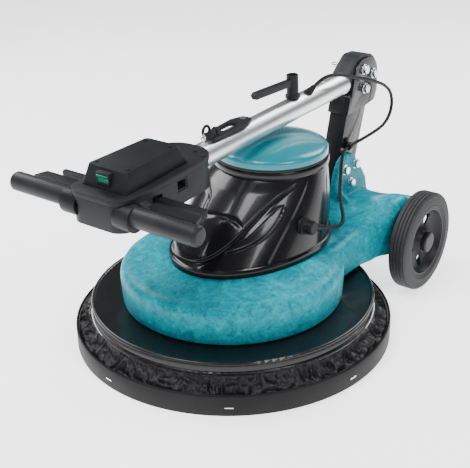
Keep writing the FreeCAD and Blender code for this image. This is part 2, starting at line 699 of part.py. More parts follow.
def motor_can():
    seat = MOTOR_BEARING_RADIUS
    inner = MOTOR_RADIUS - MOTOR_WALL
    points = [(seat, MOTOR_BOTTOM), (MOTOR_FLANGE_RADIUS, MOTOR_BOTTOM),
              (MOTOR_FLANGE_RADIUS, MOTOR_BOTTOM + MOTOR_FLANGE),
              (MOTOR_RADIUS, MOTOR_BOTTOM + MOTOR_FLANGE), (MOTOR_RADIUS, MOTOR_TOP),
              (seat, MOTOR_TOP), (seat, MOTOR_TOP - MOTOR_BEARING_WIDTH),
              (inner, MOTOR_TOP - MOTOR_BEARING_WIDTH), (inner, MOTOR_BOTTOM + MOTOR_BEARING_WIDTH),
              (seat, MOTOR_BOTTOM + MOTOR_BEARING_WIDTH)]
    can = lathe(points, 0.0, MOTOR_Y)
    for x, y in around(MOTOR_SCREW_CIRCLE, MOTOR_SCREWS, 45):
        can = can.cut(rod(SCREW_RADIUS, vec(x, MOTOR_Y + y, MOTOR_BOTTOM - 1),
                          vec(x, MOTOR_Y + y, MOTOR_BOTTOM + MOTOR_FLANGE + 1)))
    return can


def motor_rotor():
    """Shaft, core and cooling fan, which turn together."""
    shaft = MOTOR_SHAFT - RUNNING_CLEARANCE
    points = [(0, PULLEY_BOTTOM), (shaft, PULLEY_BOTTOM), (shaft, CORE_BOTTOM),
              (ROTOR_RADIUS, CORE_BOTTOM), (ROTOR_RADIUS, CORE_TOP), (shaft, CORE_TOP),
              (shaft, FAN_BOTTOM), (FAN_RADIUS, FAN_BOTTOM), (FAN_RADIUS, FAN_BOTTOM + FAN_PLATE),
              (FAN_HUB_RADIUS, FAN_BOTTOM + FAN_PLATE), (FAN_HUB_RADIUS, FAN_TOP), (0, FAN_TOP)]
    blades = []
    for i in range(FAN_BLADES):
        blade = block(FAN_HUB_RADIUS + 2, FAN_RADIUS - 2, -BLADE_HALF_THICKNESS, BLADE_HALF_THICKNESS,
                      FAN_BOTTOM + FAN_PLATE, FAN_TOP)
        blade.rotate(vec(0, 0, 0), vec(0, 0, 1), 360.0 / FAN_BLADES * i)
        blade.translate(vec(0, MOTOR_Y, 0))
        blades.append(blade)
    return fuse([lathe(points, 0.0, MOTOR_Y)] + blades)


parts["motor_can"] = motor_can()
parts["motor_stator"] = lathe([(STATOR_BORE, CORE_BOTTOM), (MOTOR_RADIUS - MOTOR_WALL, CORE_BOTTOM),
                               (MOTOR_RADIUS - MOTOR_WALL, CORE_TOP), (STATOR_BORE, CORE_TOP)],
                              0.0, MOTOR_Y)
parts["motor_rotor"] = motor_rotor()
parts["motor_bearings"] = group([
    bearing(MOTOR_SHAFT, MOTOR_BEARING_RADIUS, MOTOR_BEARING_WIDTH, z, MOTOR_Y)
    for z in (MOTOR_BOTTOM, MOTOR_TOP - MOTOR_BEARING_WIDTH)])
parts["motor_pulley"] = pulley(MOTOR_PULLEY_RADIUS, MOTOR_SHAFT - RUNNING_CLEARANCE,
                               PULLEY_BOTTOM, PULLEY_TOP, MOTOR_Y)
parts["run_capacitor"] = lathe([(0, MOTOR_BOTTOM), (CAPACITOR_RADIUS, MOTOR_BOTTOM),
                                (CAPACITOR_RADIUS, MOTOR_BOTTOM + CAPACITOR_HEIGHT),
                                (0, MOTOR_BOTTOM + CAPACITOR_HEIGHT)],
                               [0, 2, 3, 0],
                               MOTOR_Y - MOTOR_FLANGE_RADIUS - CAPACITOR_RADIUS - CAPACITOR_GAP)


# ---- motor cover --------------------------------------------------------------------------
def spline_wire(points):
    curve = Part.BSplineCurve()
    curve.interpolate(points, True)
    return Part.Wire(curve.toShape())


def turns(count=32):
    return [(math.cos(2 * math.pi * i / count), math.sin(2 * math.pi * i / count)) for i in range(count)]


def oval_wire(inset, z):
    """The cover's egg-shaped base: two half ellipses that share their widest line."""
    half = COVER_HALF_WIDTH - inset
    front = COVER_MID - COVER_FRONT - inset
    rear = COVER_REAR - COVER_MID - inset
    return spline_wire([vec(half * c, COVER_MID + (rear if s > 0 else front) * s, z) for c, s in turns()])


def circle_wire(radius, z):
    return spline_wire([vec(radius * c, MOTOR_Y + radius * s, z) for c, s in turns()])


def cover_solid(inset):
    """The cover's bulk: base flange, sloping body and collar, drawn in by inset."""
    base, flange_top = CASTING_TOP, CASTING_TOP + COVER_FLANGE
    step = 0.0 if inset else COVER_STEP
    flange_inset = inset + COVER_STEP if inset else 0.0
    flange = Part.Face(oval_wire(flange_inset, base)).extrude(vec(0, 0, COVER_FLANGE))
    body = Part.makeLoft([oval_wire(COVER_STEP + inset, flange_top),
                          circle_wire(COLLAR_RADIUS - inset - step / 2, COLLAR_BOTTOM)], True)
    collar = Part.Face(circle_wire(COLLAR_RADIUS - inset, COLLAR_BOTTOM)).extrude(
        vec(0, 0, COLLAR_TOP - COLLAR_BOTTOM))
    return fuse([flange, body, collar])


def motor_cover():
    body = cover_solid(0.0).cut(cover_solid(COVER_WALL))
    far = vec(2 * COVER_HALF_WIDTH, SOCKET_Y, SOCKET_Z)
    body = body.cut(rod(SOCKET_BODY_RADIUS, vec(COVER_HALF_WIDTH / 2, SOCKET_Y, SOCKET_Z), far))
    return body.cut(rod(SOCKET_FLANGE_RADIUS, vec(SOCKET_FACE_X - SOCKET_FLANGE, SOCKET_Y, SOCKET_Z), far))


def cover_lid():
    bottom = COLLAR_TOP + SEAL_HEIGHT
    edge = LID_RADIUS - LID_BEVEL
    inside = edge - LID_WALL
    return lathe([(LID_RADIUS - LID_RIM, bottom), (LID_RADIUS, bottom),
                  (LID_RADIUS, LID_EDGE_TOP - LID_BEVEL + 1),
                  (edge, LID_EDGE_TOP), (LID_CROWN, LID_TOP), (0, LID_TOP), (0, LID_TOP - LID_WALL),
                  (LID_CROWN, LID_TOP - LID_WALL), (inside, LID_EDGE_TOP - LID_WALL), (inside, bottom + 6)],
                 [0, 2, 3, 6, 180, 0, 0, 160, 3, 0], MOTOR_Y)


def motor_socket():
    face, back = SOCKET_FACE_X, SOCKET_FACE_X - SOCKET_DEPTH
    body = fuse([rod(SOCKET_BODY_RADIUS, vec(back, SOCKET_Y, SOCKET_Z), vec(face, SOCKET_Y, SOCKET_Z)),
                 rod(SOCKET_FLANGE_RADIUS, vec(face - SOCKET_FLANGE, SOCKET_Y, SOCKET_Z),
                     vec(face, SOCKET_Y, SOCKET_Z))])
    for y, z in PIN_PLACES:
        hole = rod(PIN_RADIUS, vec(face - PIN_DEPTH, SOCKET_Y + y, SOCKET_Z + z),
                   vec(face + 1, SOCKET_Y + y, SOCKET_Z + z))
        body = body.cut(hole)
    return body


parts["motor_cover"] = motor_cover()
parts["cover_lid"] = cover_lid()
parts["lid_seal"] = hollow_rod(LID_RADIUS - 2, LID_RADIUS - 10, vec(0, MOTOR_Y, COLLAR_TOP),
                               vec(0, MOTOR_Y, COLLAR_TOP + SEAL_HEIGHT))
parts["motor_socket"] = motor_socket()

# ---- wheels and axle ----------------------------------------------------------------------


def tyre(side):
    inner, outer = RIM_INNER_X, RIM_OUTER_X
    return wheel_lathe([(inner + TYRE_EDGE, TYRE_SEAT_RADIUS), (outer - TYRE_EDGE, TYRE_SEAT_RADIUS),
                        (outer, TYRE_SEAT_RADIUS + 8), (outer, WHEEL_RADIUS - 5),
                        (outer - 5, WHEEL_RADIUS), (inner + 5, WHEEL_RADIUS),
                        (inner, WHEEL_RADIUS - 5), (inner, TYRE_SEAT_RADIUS + 8)],
                       [1, 1, 6, 3, 3, 3, 3, 6], side)


def rim(side):
    middle = (RIM_INNER_X + RIM_OUTER_X) / 2
    bore = AXLE_RADIUS + RUNNING_CLEARANCE
    hub, web = WHEEL_HUB_RADIUS, RIM_WEB / 2
    rim_inside = TYRE_SEAT_RADIUS - RIM_WEB
    inner, outer = RIM_INNER_X + TYRE_EDGE, RIM_OUTER_X - TYRE_EDGE
    body = wheel_lathe([(inner, rim_inside), (middle - web, rim_inside), (middle - web, hub),
                        (RIM_INNER_X + 1, hub), (RIM_INNER_X + 1, bore), (HUB_OUTER_X, bore),
                        (HUB_OUTER_X, hub), (middle + web, hub), (middle + web, rim_inside),
                        (outer, rim_inside), (outer, TYRE_SEAT_RADIUS), (inner, TYRE_SEAT_RADIUS)],
                       0.0, side)
    for i in range(RIM_HOLES):
        y, z = on_circle(WHEEL_Y, WHEEL_RADIUS, RIM_HOLE_CIRCLE, 90 + 360 / RIM_HOLES * i)
        body = body.cut(rod(RIM_HOLE_RADIUS, vec(side * RIM_INNER_X, y, z), vec(side * RIM_OUTER_X, y, z)))
    return body


def hub_cap(side):
    outer, inner = HUB_CAP_RADIUS, HUB_CAP_BORE
    end = AXLE_END + HUB_CAP_END
    return wheel_lathe([(HUB_OUTER_X, inner), (HUB_OUTER_X, outer), (end - 2, outer), (end, outer - 4),
                        (end, 0), (end - HUB_CAP_WALL, 0), (end - HUB_CAP_WALL, inner)],
                       [0, 0, 2, 2, 0, 0, 1], side)


for name, side in (("right", 1), ("left", -1)):
    parts["tyre_" + name] = tyre(side)
    parts["rim_" + name] = rim(side)
    parts["hub_cap_" + name] = hub_cap(side)
axle_points = [vec(x, WHEEL_Y, WHEEL_RADIUS) for x in (-AXLE_END, AXLE_END)]
parts["axle"] = rod(AXLE_RADIUS, *axle_points)
parts["axle_clips"] = group([
    hollow_rod(AXLE_CLIP_RADIUS, AXLE_RADIUS, vec(side * CLIP_INNER_X, WHEEL_Y, WHEEL_RADIUS),
               vec(side * (CLIP_INNER_X + CLIP_THICKNESS), WHEEL_Y, WHEEL_RADIUS))
    for side in (1, -1)])
buffer_y = WHEEL_Y - BUFFER_BEFORE_AXLE
parts["arm_buffer"] = rod(BUFFER_RADIUS, vec(BUFFER_X, buffer_y, BUFFER_BOTTOM),
                          vec(BUFFER_X, buffer_y, CASTING_TOP - CASTING_SKIN))


# ---- mast ---------------------------------------------------------------------------------


def mast_front(z):
    return FOOT_Y - MAST_FRONT_AT_FOOT + MAST_FRONT_SLOPE * (z - FOOT_Z)


def mast_rear(z):
    return FOOT_Y + MAST_REAR_AT_FOOT + MAST_REAR_SLOPE * (z - FOOT_Z)


def mast_channel():
    outline = [(mast_front(MAST_BOTTOM), MAST_BOTTOM), (mast_rear(MAST_BOTTOM), MAST_BOTTOM),
               (mast_rear(MAST_TOP), MAST_TOP), (mast_front(MAST_TOP), MAST_TOP)]
    inside = [(y + MAST_SHEET, z) for y, z in (outline[0], outline[3])]
    hollow = [inside[0], (outline[1][0] + 50, MAST_BOTTOM), (outline[2][0] + 50, MAST_TOP), inside[1]]
    outer = profile(outline, 0, -MAST_HALF_WIDTH, MAST_HALF_WIDTH)
    room = profile(hollow, 0, -MAST_HALF_WIDTH + MAST_SHEET, MAST_HALF_WIDTH - MAST_SHEET)
    body = outer.cut(room)
    for angle in FOOT_BOLT_ANGLES:
        y, z = on_circle(FOOT_Y, FOOT_Z, BOLT_CIRCLE, angle)
        body = body.cut(rod(BOLT_RADIUS, vec(-EAR_OUTER, y, z), vec(EAR_OUTER, y, z)))
    return body


def mast_bracket():
    """Two rounded plates joined by a front web, over the top of the mast."""
    front = mast_front(BRACKET_BOTTOM) - PLATE_THICKNESS
    outline = [(front, BRACKET_BOTTOM), (mast_rear(BRACKET_BOTTOM), BRACKET_BOTTOM + 4),
               (PIVOT_Y + BRACKET_HEEL, BRACKET_BOTTOM + 8), (PIVOT_Y + BRACKET_BELLY, BRACKET_BOTTOM + 30),
               (PIVOT_Y + PLATE_RADIUS, PIVOT_Z + PLATE_RADIUS),
               (PIVOT_Y - PLATE_RADIUS, PIVOT_Z + PLATE_RADIUS),
               (mast_front(WEB_TOP) - PLATE_THICKNESS + 4, WEB_TOP - 6)]
    radii = [0, 0, 8, 12, PLATE_RADIUS * 0.93, PLATE_RADIUS * 0.85, 0]
    plates = [profile(outline, radii, x, x + PLATE_THICKNESS)
              for x in (MAST_HALF_WIDTH, -MAST_HALF_WIDTH - PLATE_THICKNESS)]
    web = [(mast_front(z) - PLATE_THICKNESS, z) for z in (BRACKET_BOTTOM, WEB_TOP)]
    web += [(mast_front(z), z) for z in (WEB_TOP, BRACKET_BOTTOM)]
    reach = MAST_HALF_WIDTH + PLATE_THICKNESS
    body = fuse(plates + [profile(web, 0, -reach, reach)])
    for angle in HEAD_BOLT_ANGLES:
        y, z = on_circle(PIVOT_Y, PIVOT_Z, BOLT_CIRCLE, angle)
        body = body.cut(rod(BOLT_RADIUS, vec(-EAR_OUTER, y, z), vec(EAR_OUTER, y, z)))
    return body


def mast_bolt(y, z, reach):
    """An M10 bolt through the mast, with its nut; reach is the outer face it clamps."""
    seat = reach + WASHER
    head = hexagon(BOLT_ACROSS, vec(seat, y, z), vec(seat + BOLT_HEAD, y, z))
    shank = rod(BOLT_RADIUS, vec(seat - BOLT_LENGTH, y, z), vec(seat, y, z))
    nut = hexagon(BOLT_ACROSS, vec(-seat - BOLT_HEAD, y, z), vec(-seat, y, z))
    return [head.fuse(shank), nut.cut(shank)]


def mast_fasteners():
    bolts, washers = [], []
    for centre, reach, angles in (((FOOT_Y, FOOT_Z), EAR_OUTER, FOOT_BOLT_ANGLES),
                                  ((PIVOT_Y, PIVOT_Z), MAST_HALF_WIDTH + PLATE_THICKNESS,
                                   HEAD_BOLT_ANGLES)):
        for angle in angles:
            y, z = on_circle(*centre, BOLT_CIRCLE, angle)
            bolts += mast_bolt(y, z, reach)
            for near in (reach, -reach - WASHER):
                washers.append(hollow_rod(WASHER_RADIUS, BOLT_RADIUS, vec(near, y, z),
                                          vec(near + WASHER, y, z)))
    return group(bolts), group(washers)


def pivot_hub():
    hub = rod(PIVOT_HUB_RADIUS, vec(-MAST_HALF_WIDTH, PIVOT_Y, PIVOT_Z),
              vec(MAST_HALF_WIDTH, PIVOT_Y, PIVOT_Z))
    for angle in HEAD_BOLT_ANGLES:
        y, z = on_circle(PIVOT_Y, PIVOT_Z, BOLT_CIRCLE, angle)
        hub = hub.cut(rod(BOLT_RADIUS, vec(-EAR_OUTER, y, z), vec(EAR_OUTER, y, z)))
    return hub


def cable_clip():
    """A saddle clip on the mast's side that holds the cord."""
    side = MAST_HALF_WIDTH
    x = side + CLIP_STAND_OFF
    front, rear = CLIP_Y - CLIP_HALF_LENGTH, CLIP_Y + CLIP_HALF_LENGTH
    screw_z = CLIP_Z + CLIP_SCREW_RISE
    loop = hollow_rod(CORD_RADIUS + 4, CORD_RADIUS + 1.5, vec(x, front, CLIP_Z), vec(x, rear, CLIP_Z))
    foot = block(side, side + CLIP_PLATE, front, rear, CLIP_Z - 6, CLIP_Z + 16)
    neck = block(side, x - CORD_RADIUS - 1, front, rear, CLIP_Z - 3, CLIP_Z + 3)
    screw = rod(CLIP_SCREW_RADIUS, vec(side + CLIP_PLATE, CLIP_Y, screw_z),
                vec(side + 2 * CLIP_PLATE, CLIP_Y, screw_z))
    return fuse([loop, foot, neck, screw])


parts["mast_channel"] = mast_channel()
parts["mast_bracket"] = mast_bracket()
parts["mast_bolts"], parts["mast_washers"] = mast_fasteners()
parts["pivot_hub"] = pivot_hub()
parts["cable_clip"] = cable_clip()

# ---- handle -------------------------------------------------------------------------------


def tilted(shape):
    """Turn a handle piece from its level drawing position to the folded one."""
    turned = shape.copy()
    turned.rotate(vec(0, PIVOT_Y, PIVOT_Z), vec(1, 0, 0), HANDLE_TILT)
    return turned


def along_tube(radius, y0, y1, x=0.0, rise=0.0):
    return rod(radius, vec(x, y0, AXIS_Z + rise), vec(x, y1, AXIS_Z + rise))


def knuckle(x0, x1):
    """One half of the casting that joins the tube to the pivot, between x0 and x1."""
    ring = rod(KNUCKLE_RADIUS, vec(x0, PIVOT_Y, PIVOT_Z), vec(x1, PIVOT_Y, PIVOT_Z))
    neck = profile([(TUBE_REAR, AXIS_Z - NECK_DROP), (PIVOT_Y, AXIS_Z - NECK_DROP),
                    (PIVOT_Y, AXIS_Z + KNUCKLE_RADIUS),
                    (PIVOT_Y - 25, AXIS_Z + KNUCKLE_RADIUS + 2), (TUBE_REAR, AXIS_Z + TUBE_RADIUS - 1)],
                   [0, 0, 0, 20, 0], x0, x1)
    spigot = along_tube(TUBE_RADIUS - TUBE_WALL, TUBE_REAR - SPIGOT_LENGTH, TUBE_REAR + 1)
    half = block(x0, x1, TUBE_REAR - SPIGOT_LENGTH, TUBE_REAR + 2,
                 AXIS_Z - TUBE_RADIUS, AXIS_Z + TUBE_RADIUS)
    spigot = spigot.common(half)
    body = fuse([ring, neck, spigot])
    return body.cut(rod(PIVOT_HUB_RADIUS + RUNNING_CLEARANCE, vec(-EAR_OUTER, PIVOT_Y, PIVOT_Z),
                        vec(EAR_OUTER, PIVOT_Y, PIVOT_Z)))


def tube_top(x):
    return math.sqrt(TUBE_RADIUS ** 2 - x ** 2)


def handle_tube():
    body = along_tube(TUBE_RADIUS, TUBE_FRONT, TUBE_REAR).cut(
        along_tube(TUBE_RADIUS - TUBE_WALL, TUBE_FRONT - 1, TUBE_REAR + 1))
    above = AXIS_Z + 2 * TUBE_RADIUS
    exit_hole = rod(GROMMET_RADIUS, vec(GROMMET_X, GROMMET_Y, AXIS_Z), vec(GROMMET_X, GROMMET_Y, above))
    body = body.cut(exit_hole)
    body = body.cut(rod(HOOK_PIN_RADIUS, vec(0, HOOK_Y, AXIS_Z), vec(0, HOOK_Y, above)))
    for y in TUBE_SCREW_ROWS + (EYE_Y, CLIP_PIN_Y):
        body = body.cut(rod(TUBE_SCREW_RADIUS, vec(0, y, AXIS_Z), vec(0, y, above)))
    return body


def tube_screws():
    top = AXIS_Z + TUBE_RADIUS
    screws = []
    for y in TUBE_SCREW_ROWS:
        head = rod(TUBE_SCREW_HEAD, vec(0, y, top), vec(0, y, top + 2))
        screws.append(head.fuse(rod(TUBE_SCREW_RADIUS, vec(0, y, top - TUBE_SCREW_DEPTH), vec(0, y, top))))
    pin_top = top + CLIP_THICKNESS_UP + 0.4
    pin = fuse([rod(TUBE_SCREW_RADIUS, vec(0, CLIP_PIN_Y, top - TUBE_SCREW_DEPTH), vec(0, CLIP_PIN_Y, top)),
                rod(CLIP_PIN_RADIUS, vec(0, CLIP_PIN_Y, top), vec(0, CLIP_PIN_Y, pin_top)),
                rod(CLIP_PIN_HEAD, vec(0, CLIP_PIN_Y, pin_top), vec(0, CLIP_PIN_Y, pin_top + 2))])
    screws.append(pin)
    eye = Part.makeTorus(EYE_RADIUS, EYE_WIRE, vec(0, EYE_Y, top + EYE_RISE), vec(1, 0, 0))
    stem = rod(TUBE_SCREW_RADIUS, vec(0, EYE_Y, top - TUBE_SCREW_DEPTH), vec(0, EYE_Y, top + 3))
    screws.append(fuse([eye, stem]))
    return group(screws)


def cable_hook():
    """Swivelling post with one long arm, for winding the mains lead."""
    top = AXIS_Z + HOOK_TOP
    bottom = AXIS_Z + TUBE_RADIUS + HOOK_GAP
    bore, cup = HOOK_RADIUS - HOOK_WALL, top - HOOK_CUP
    post = lathe([(0, bottom), (HOOK_RADIUS + 3, bottom), (HOOK_RADIUS + 3, bottom + 5),
                  (HOOK_RADIUS, bottom + 8), (HOOK_RADIUS, top), (bore, top), (bore, cup), (0, cup)],
                 [0, 0, 1, 1, 1, 1, 0, 0], HOOK_Y)
    pin = rod(HOOK_PIN_RADIUS - RUNNING_CLEARANCE, vec(0, HOOK_Y, bottom - 12), vec(0, HOOK_Y, bottom + 1))
    tip = HOOK_Y - HOOK_REACH
    arm = profile([(HOOK_Y, top - 22), (HOOK_Y, top - 8), (tip + 5, top - 1), (tip, top - 6),
                   (tip + 4, top - 14), (HOOK_Y - 24, top - 20)], [0, 0, 2, 2, 2, 4],
                  -HOOK_ARM_HALF, HOOK_ARM_HALF)
    arm = arm.cut(rod(bore, vec(0, HOOK_Y, cup), vec(0, HOOK_Y, top + 5)))
    return fuse([post, pin, arm])


def strain_clip():
    """Plate with a long slot and two cord loops, lying on the tube."""
    seat = AXIS_Z + TUBE_RADIUS + CLIP_GAP
    top = seat + CLIP_THICKNESS_UP
    narrow, wide, tail = CLIP_HALF_WIDTHS
    widest = CLIP_REAR - 25
    plate = plan([(-narrow, CLIP_FRONT), (narrow, CLIP_FRONT), (wide, widest), (tail, CLIP_REAR),
                  (-tail, CLIP_REAR), (-wide, widest)], [4, 4, 10, 6, 6, 10], seat, top)
    slot = [(-SLOT_HALF, SLOT_FRONT), (SLOT_HALF, SLOT_FRONT),
            (SLOT_HALF, SLOT_REAR), (-SLOT_HALF, SLOT_REAR)]
    plate = plate.cut(plan(slot, SLOT_HALF - 0.5, seat - 1, top + 1))
    plate = plate.cut(rod(CLIP_PIN_RADIUS + RUNNING_CLEARANCE, vec(0, CLIP_PIN_Y, seat - 1),
                          vec(0, CLIP_PIN_Y, top + 1)))
    loops = [Part.makeTorus(LOOP_RADIUS, LOOP_WIRE, vec(x, CLIP_FRONT + 8, seat + 12), vec(1, 0, 0))
             for x in (-LOOP_X, LOOP_X)]
    return fuse([plate] + loops)


def head_outline(inset):
    half = HEAD_HALF_WIDTH - inset
    rear = half - HEAD_REAR_TAPER
    return [(-half, HEAD_FRONT + inset), (half, HEAD_FRONT + inset), (rear, HEAD_REAR - inset),
            (-rear, HEAD_REAR - inset)]


def head_radii(inset):
    return [30 - inset, 30 - inset, 50 - inset, 50 - inset]


def head_lower():
    bottom, seam = AXIS_Z - HEAD_DEPTH, AXIS_Z + HEAD_SEAM
    grip_z = AXIS_Z + GRIP_RISE
    outer = plan(head_outline(0), head_radii(0), bottom, seam)
    boss_z = grip_z - GRIP_BOSS_DROP
    bosses = [rod(GRIP_BOSS_RADIUS, vec(side * GRIP_BOSS_ROOT, GRIP_Y, boss_z),
                  vec(side * GRIP_BOSS_END, GRIP_Y, boss_z)) for side in (1, -1)]
    body = fuse([outer] + bosses)
    trim = block(-GRIP_BOSS_END, GRIP_BOSS_END, 2 * HEAD_FRONT, 0, seam, seam + HEAD_DEPTH)
    body = body.cut(trim)
    room = plan(head_outline(HEAD_WALL), head_radii(HEAD_WALL), bottom + HEAD_WALL, seam + 1)
    body = body.cut(room)
    past_boss = GRIP_BOSS_END + 1
    grips = rod(GRIP_RADIUS, vec(-past_boss, GRIP_Y, grip_z), vec(past_boss, GRIP_Y, grip_z))
    shaft = rod(PADDLE_SHAFT_RADIUS + RUNNING_CLEARANCE, vec(-past_boss, PADDLE_Y, AXIS_Z + PADDLE_RISE),
                vec(past_boss, PADDLE_Y, AXIS_Z + PADDLE_RISE))
    body = body.cut(grips).cut(shaft).cut(along_tube(TUBE_RADIUS, TUBE_FRONT, 0))
    for side in (1, -1):
        x0, x1 = sorted((side * SIDE_CUT_ROOT, side * past_boss))
        body = body.cut(block(x0, x1, LEVER_Y - LEVER_SLOT_FRONT, LEVER_Y + LEVER_SLOT_REAR,
                              AXIS_Z - LEVER_SLOT_HALF, AXIS_Z + LEVER_SLOT_HALF))
    body = body.cut(block(SIDE_CUT_ROOT, past_boss, INLET_Y - INLET_HALF, INLET_Y + INLET_HALF,
                          AXIS_Z - INLET_DROP, AXIS_Z - INLET_DROP + INLET_HEIGHT))
    for side in (1, -1):
        pin = side * LEVER_PIN_X
        boss_top = AXIS_Z - LEVER_SIZE / 2 - LEVER_GAP
        boss = rod(LEVER_BOSS_RADIUS, vec(pin, LEVER_Y, bottom + 1), vec(pin, LEVER_Y, boss_top))
        body = body.fuse(boss.common(outer))
        body = body.cut(rod(LEVER_PIN_RADIUS, vec(pin, LEVER_Y, bottom + 3), vec(pin, LEVER_Y, AXIS_Z)))
    return body.removeSplitter()


def head_upper():
    seam, top = AXIS_Z + HEAD_SEAM, AXIS_Z + HEAD_LID
    outer = plan(head_outline(-HEAD_OVERHANG), head_radii(-HEAD_OVERHANG), seam, top)
    land = HEAD_WALL + HEAD_LAND
    room = plan(head_outline(land), head_radii(land), seam - 1, top - HEAD_WALL)
    body = outer.cut(room).cut(along_tube(TUBE_RADIUS, TUBE_FRONT, 0))
    front, rear = WIRING_HOLE_HALF_WIDTHS
    hole = plan([(-front, WIRING_HOLE_FRONT), (front, WIRING_HOLE_FRONT), (rear, WIRING_HOLE_REAR),
                 (-rear, WIRING_HOLE_REAR)], 4, seam, top + 1)
    return body.cut(hole)


def box_wire(inset, z, shape):
    """The switch box's outline at height z; shape is its half widths and its two ends."""
    front_half, rear_half, front, rear = shape
    corners = [vec(inset - front_half, front + inset, z), vec(front_half - inset, front + inset, z),
               vec(rear_half - inset, rear - inset, z), vec(inset - rear_half, rear - inset, z)]
    return rounded_wire(corners, BOX_CORNERS)


def switch_box():
    base, top = AXIS_Z + HEAD_LID, AXIS_Z + BOX_TOP
    outer = Part.makeLoft([box_wire(0, base, BOX_FOOT), box_wire(0, top, BOX_CROWN)], True)
    inner = Part.makeLoft([box_wire(BOX_WALL, base, BOX_FOOT),
                           box_wire(BOX_WALL, top - BOX_WALL, BOX_CROWN)], True)
    window = block(-SWITCH_HALF, SWITCH_HALF, SWITCH_FRONT - 16, SWITCH_FRONT + 24,
                   SWITCH_BOTTOM, SWITCH_TOP)
    return outer.cut(inner).cut(window)


def switch_bezel():
    frame = block(-SWITCH_HALF, SWITCH_HALF, SWITCH_FRONT, SWITCH_FRONT + SWITCH_DEPTH,
                  SWITCH_BOTTOM, SWITCH_TOP)
    side = ROCKER_HALF + 0.5
    pocket = block(-side, side, SWITCH_FRONT - 1, SWITCH_FRONT + SWITCH_POCKET,
                   SWITCH_BOTTOM + SWITCH_WALL, SWITCH_TOP - SWITCH_WALL)
    pin_hole = rod(ROCKER_PIN + RUNNING_CLEARANCE, vec(-ROCKER_HALF - 2, ROCKER_Y, ROCKER_Z),
                   vec(ROCKER_HALF + 2, ROCKER_Y, ROCKER_Z))
    return frame.cut(pocket).cut(pin_hole)


def rocker():
    face = SWITCH_FRONT + 0.5
    outline = [(SWITCH_FRONT - 3, ROCKER_Z + 7), (face, ROCKER_Z), (face, ROCKER_Z - 7),
               (ROCKER_Y + 5, ROCKER_Z - 3), (ROCKER_Y + 5, ROCKER_Z + 3)]
    pin = rod(ROCKER_PIN, vec(-ROCKER_PIN_REACH, ROCKER_Y, ROCKER_Z),
              vec(ROCKER_PIN_REACH, ROCKER_Y, ROCKER_Z))
    return profile(outline, [0.8, 3, 0.8, 1, 1], -ROCKER_HALF, ROCKER_HALF).fuse(pin)


def hand_grips():
    grip_z = AXIS_Z + GRIP_RISE
    inner = GRIP_RADIUS - GRIP_WALL
    cap_x = GRIP_END - GRIP_CAP
    hole_reach = vec(0, GRIP_HOLE_LEAN, 20)
    grips = []
    for side in (1, -1):
        cap_root = vec(side * cap_x, GRIP_Y, grip_z)
        sleeve = rod(GRIP_RADIUS, vec(side * GRIP_ROOT, GRIP_Y, grip_z), cap_root)
        cap = rod(GRIP_RADIUS, cap_root, vec(side * GRIP_END, GRIP_Y, grip_z))
        outer_edges = [e for e in cap.Edges if abs(e.BoundBox.XMin - side * GRIP_END) < 0.01
                       and abs(e.BoundBox.XMax - side * GRIP_END) < 0.01]
        cap = cap.makeFillet(GRIP_CAP - 0.5, outer_edges)
        bore = rod(inner, vec(side * (GRIP_ROOT - 1), GRIP_Y, grip_z),
                   vec(side * (cap_x - 4), GRIP_Y, grip_z))
        middle = vec(side * GRIP_HOLE_X, GRIP_Y, grip_z)
        hole = rod(GRIP_HOLE_RADIUS, middle - hole_reach, middle + hole_reach)
        grips.append(fuse([sleeve, cap]).cut(bore).cut(hole))
    return group(grips)


def switch_lever(side):
    half = LEVER_SIZE / 2
    pin = LEVER_PIN_X
    root = pin - LEVER_BOSS_RADIUS
    outline = [(root, LEVER_Y - half), (LEVER_END, LEVER_Y - half), (LEVER_END + 6, LEVER_Y + half),
               (root, LEVER_Y + half)]
    bar = plan(outline, [5, 4, 3, 5], AXIS_Z - half, AXIS_Z + half)
    bar = bar.cut(rod(LEVER_PIN_RADIUS + RUNNING_CLEARANCE, vec(pin, LEVER_Y, AXIS_Z - LEVER_SIZE),
                      vec(pin, LEVER_Y, AXIS_Z + LEVER_SIZE)))
    return bar if side > 0 else mirrored(bar)


def safety_paddle():
    """One shaft through the head with a flat blade beside each grip."""
    z = AXIS_Z + PADDLE_RISE
    root = GRIP_BOSS_END + 2
    reach = root + 10
    front, rear = PADDLE_Y - 2, PADDLE_Y + PADDLE_WIDTH
    shaft = rod(PADDLE_SHAFT_RADIUS, vec(-reach, PADDLE_Y, z), vec(reach, PADDLE_Y, z))
    blade = plan([(root, front), (PADDLE_END + 8, front), (PADDLE_END, rear), (root, rear)], [0, 2, 4, 4],
                 z - PADDLE_THICKNESS / 2, z + PADDLE_THICKNESS / 2)
    return fuse([shaft, blade, mirrored(blade)])


def lever_pins():
    top = AXIS_Z + LEVER_SIZE / 2 + 4
    return group([rod(LEVER_PIN_RADIUS, vec(side * LEVER_PIN_X, LEVER_Y, AXIS_Z - HEAD_DEPTH + 3),
                      vec(side * LEVER_PIN_X, LEVER_Y, top)) for side in (1, -1)])


def head_screws():
    """Self-tapping screws: four in the upper housing's flange, four in the switch box."""
    flange, box_top = AXIS_Z + HEAD_LID, AXIS_Z + BOX_TOP
    places = [(x, y, flange) for x, y in FLANGE_SCREWS]
    places += [(x, y, box_top) for x, y in BOX_SCREWS]
    return group([rod(HEAD_SCREW_RADIUS, vec(side * x, y, z), vec(side * x, y, z + HEAD_SCREW_RISE))
                  for x, y, z in places for side in (1, -1)])


def mains_inlet():
    y0, y1 = INLET_Y - INLET_HALF, INLET_Y + INLET_HALF
    z0 = AXIS_Z - INLET_DROP
    z1 = z0 + INLET_HEIGHT
    body = block(INLET_ROOT, INLET_FACE, y0, y1, z0, z1)
    wall = INLET_WALL
    pocket = block(INLET_ROOT + 2 * wall, INLET_FACE + 1, y0 + wall, y1 - wall, z0 + wall, z1 - wall)
    return body.cut(pocket)


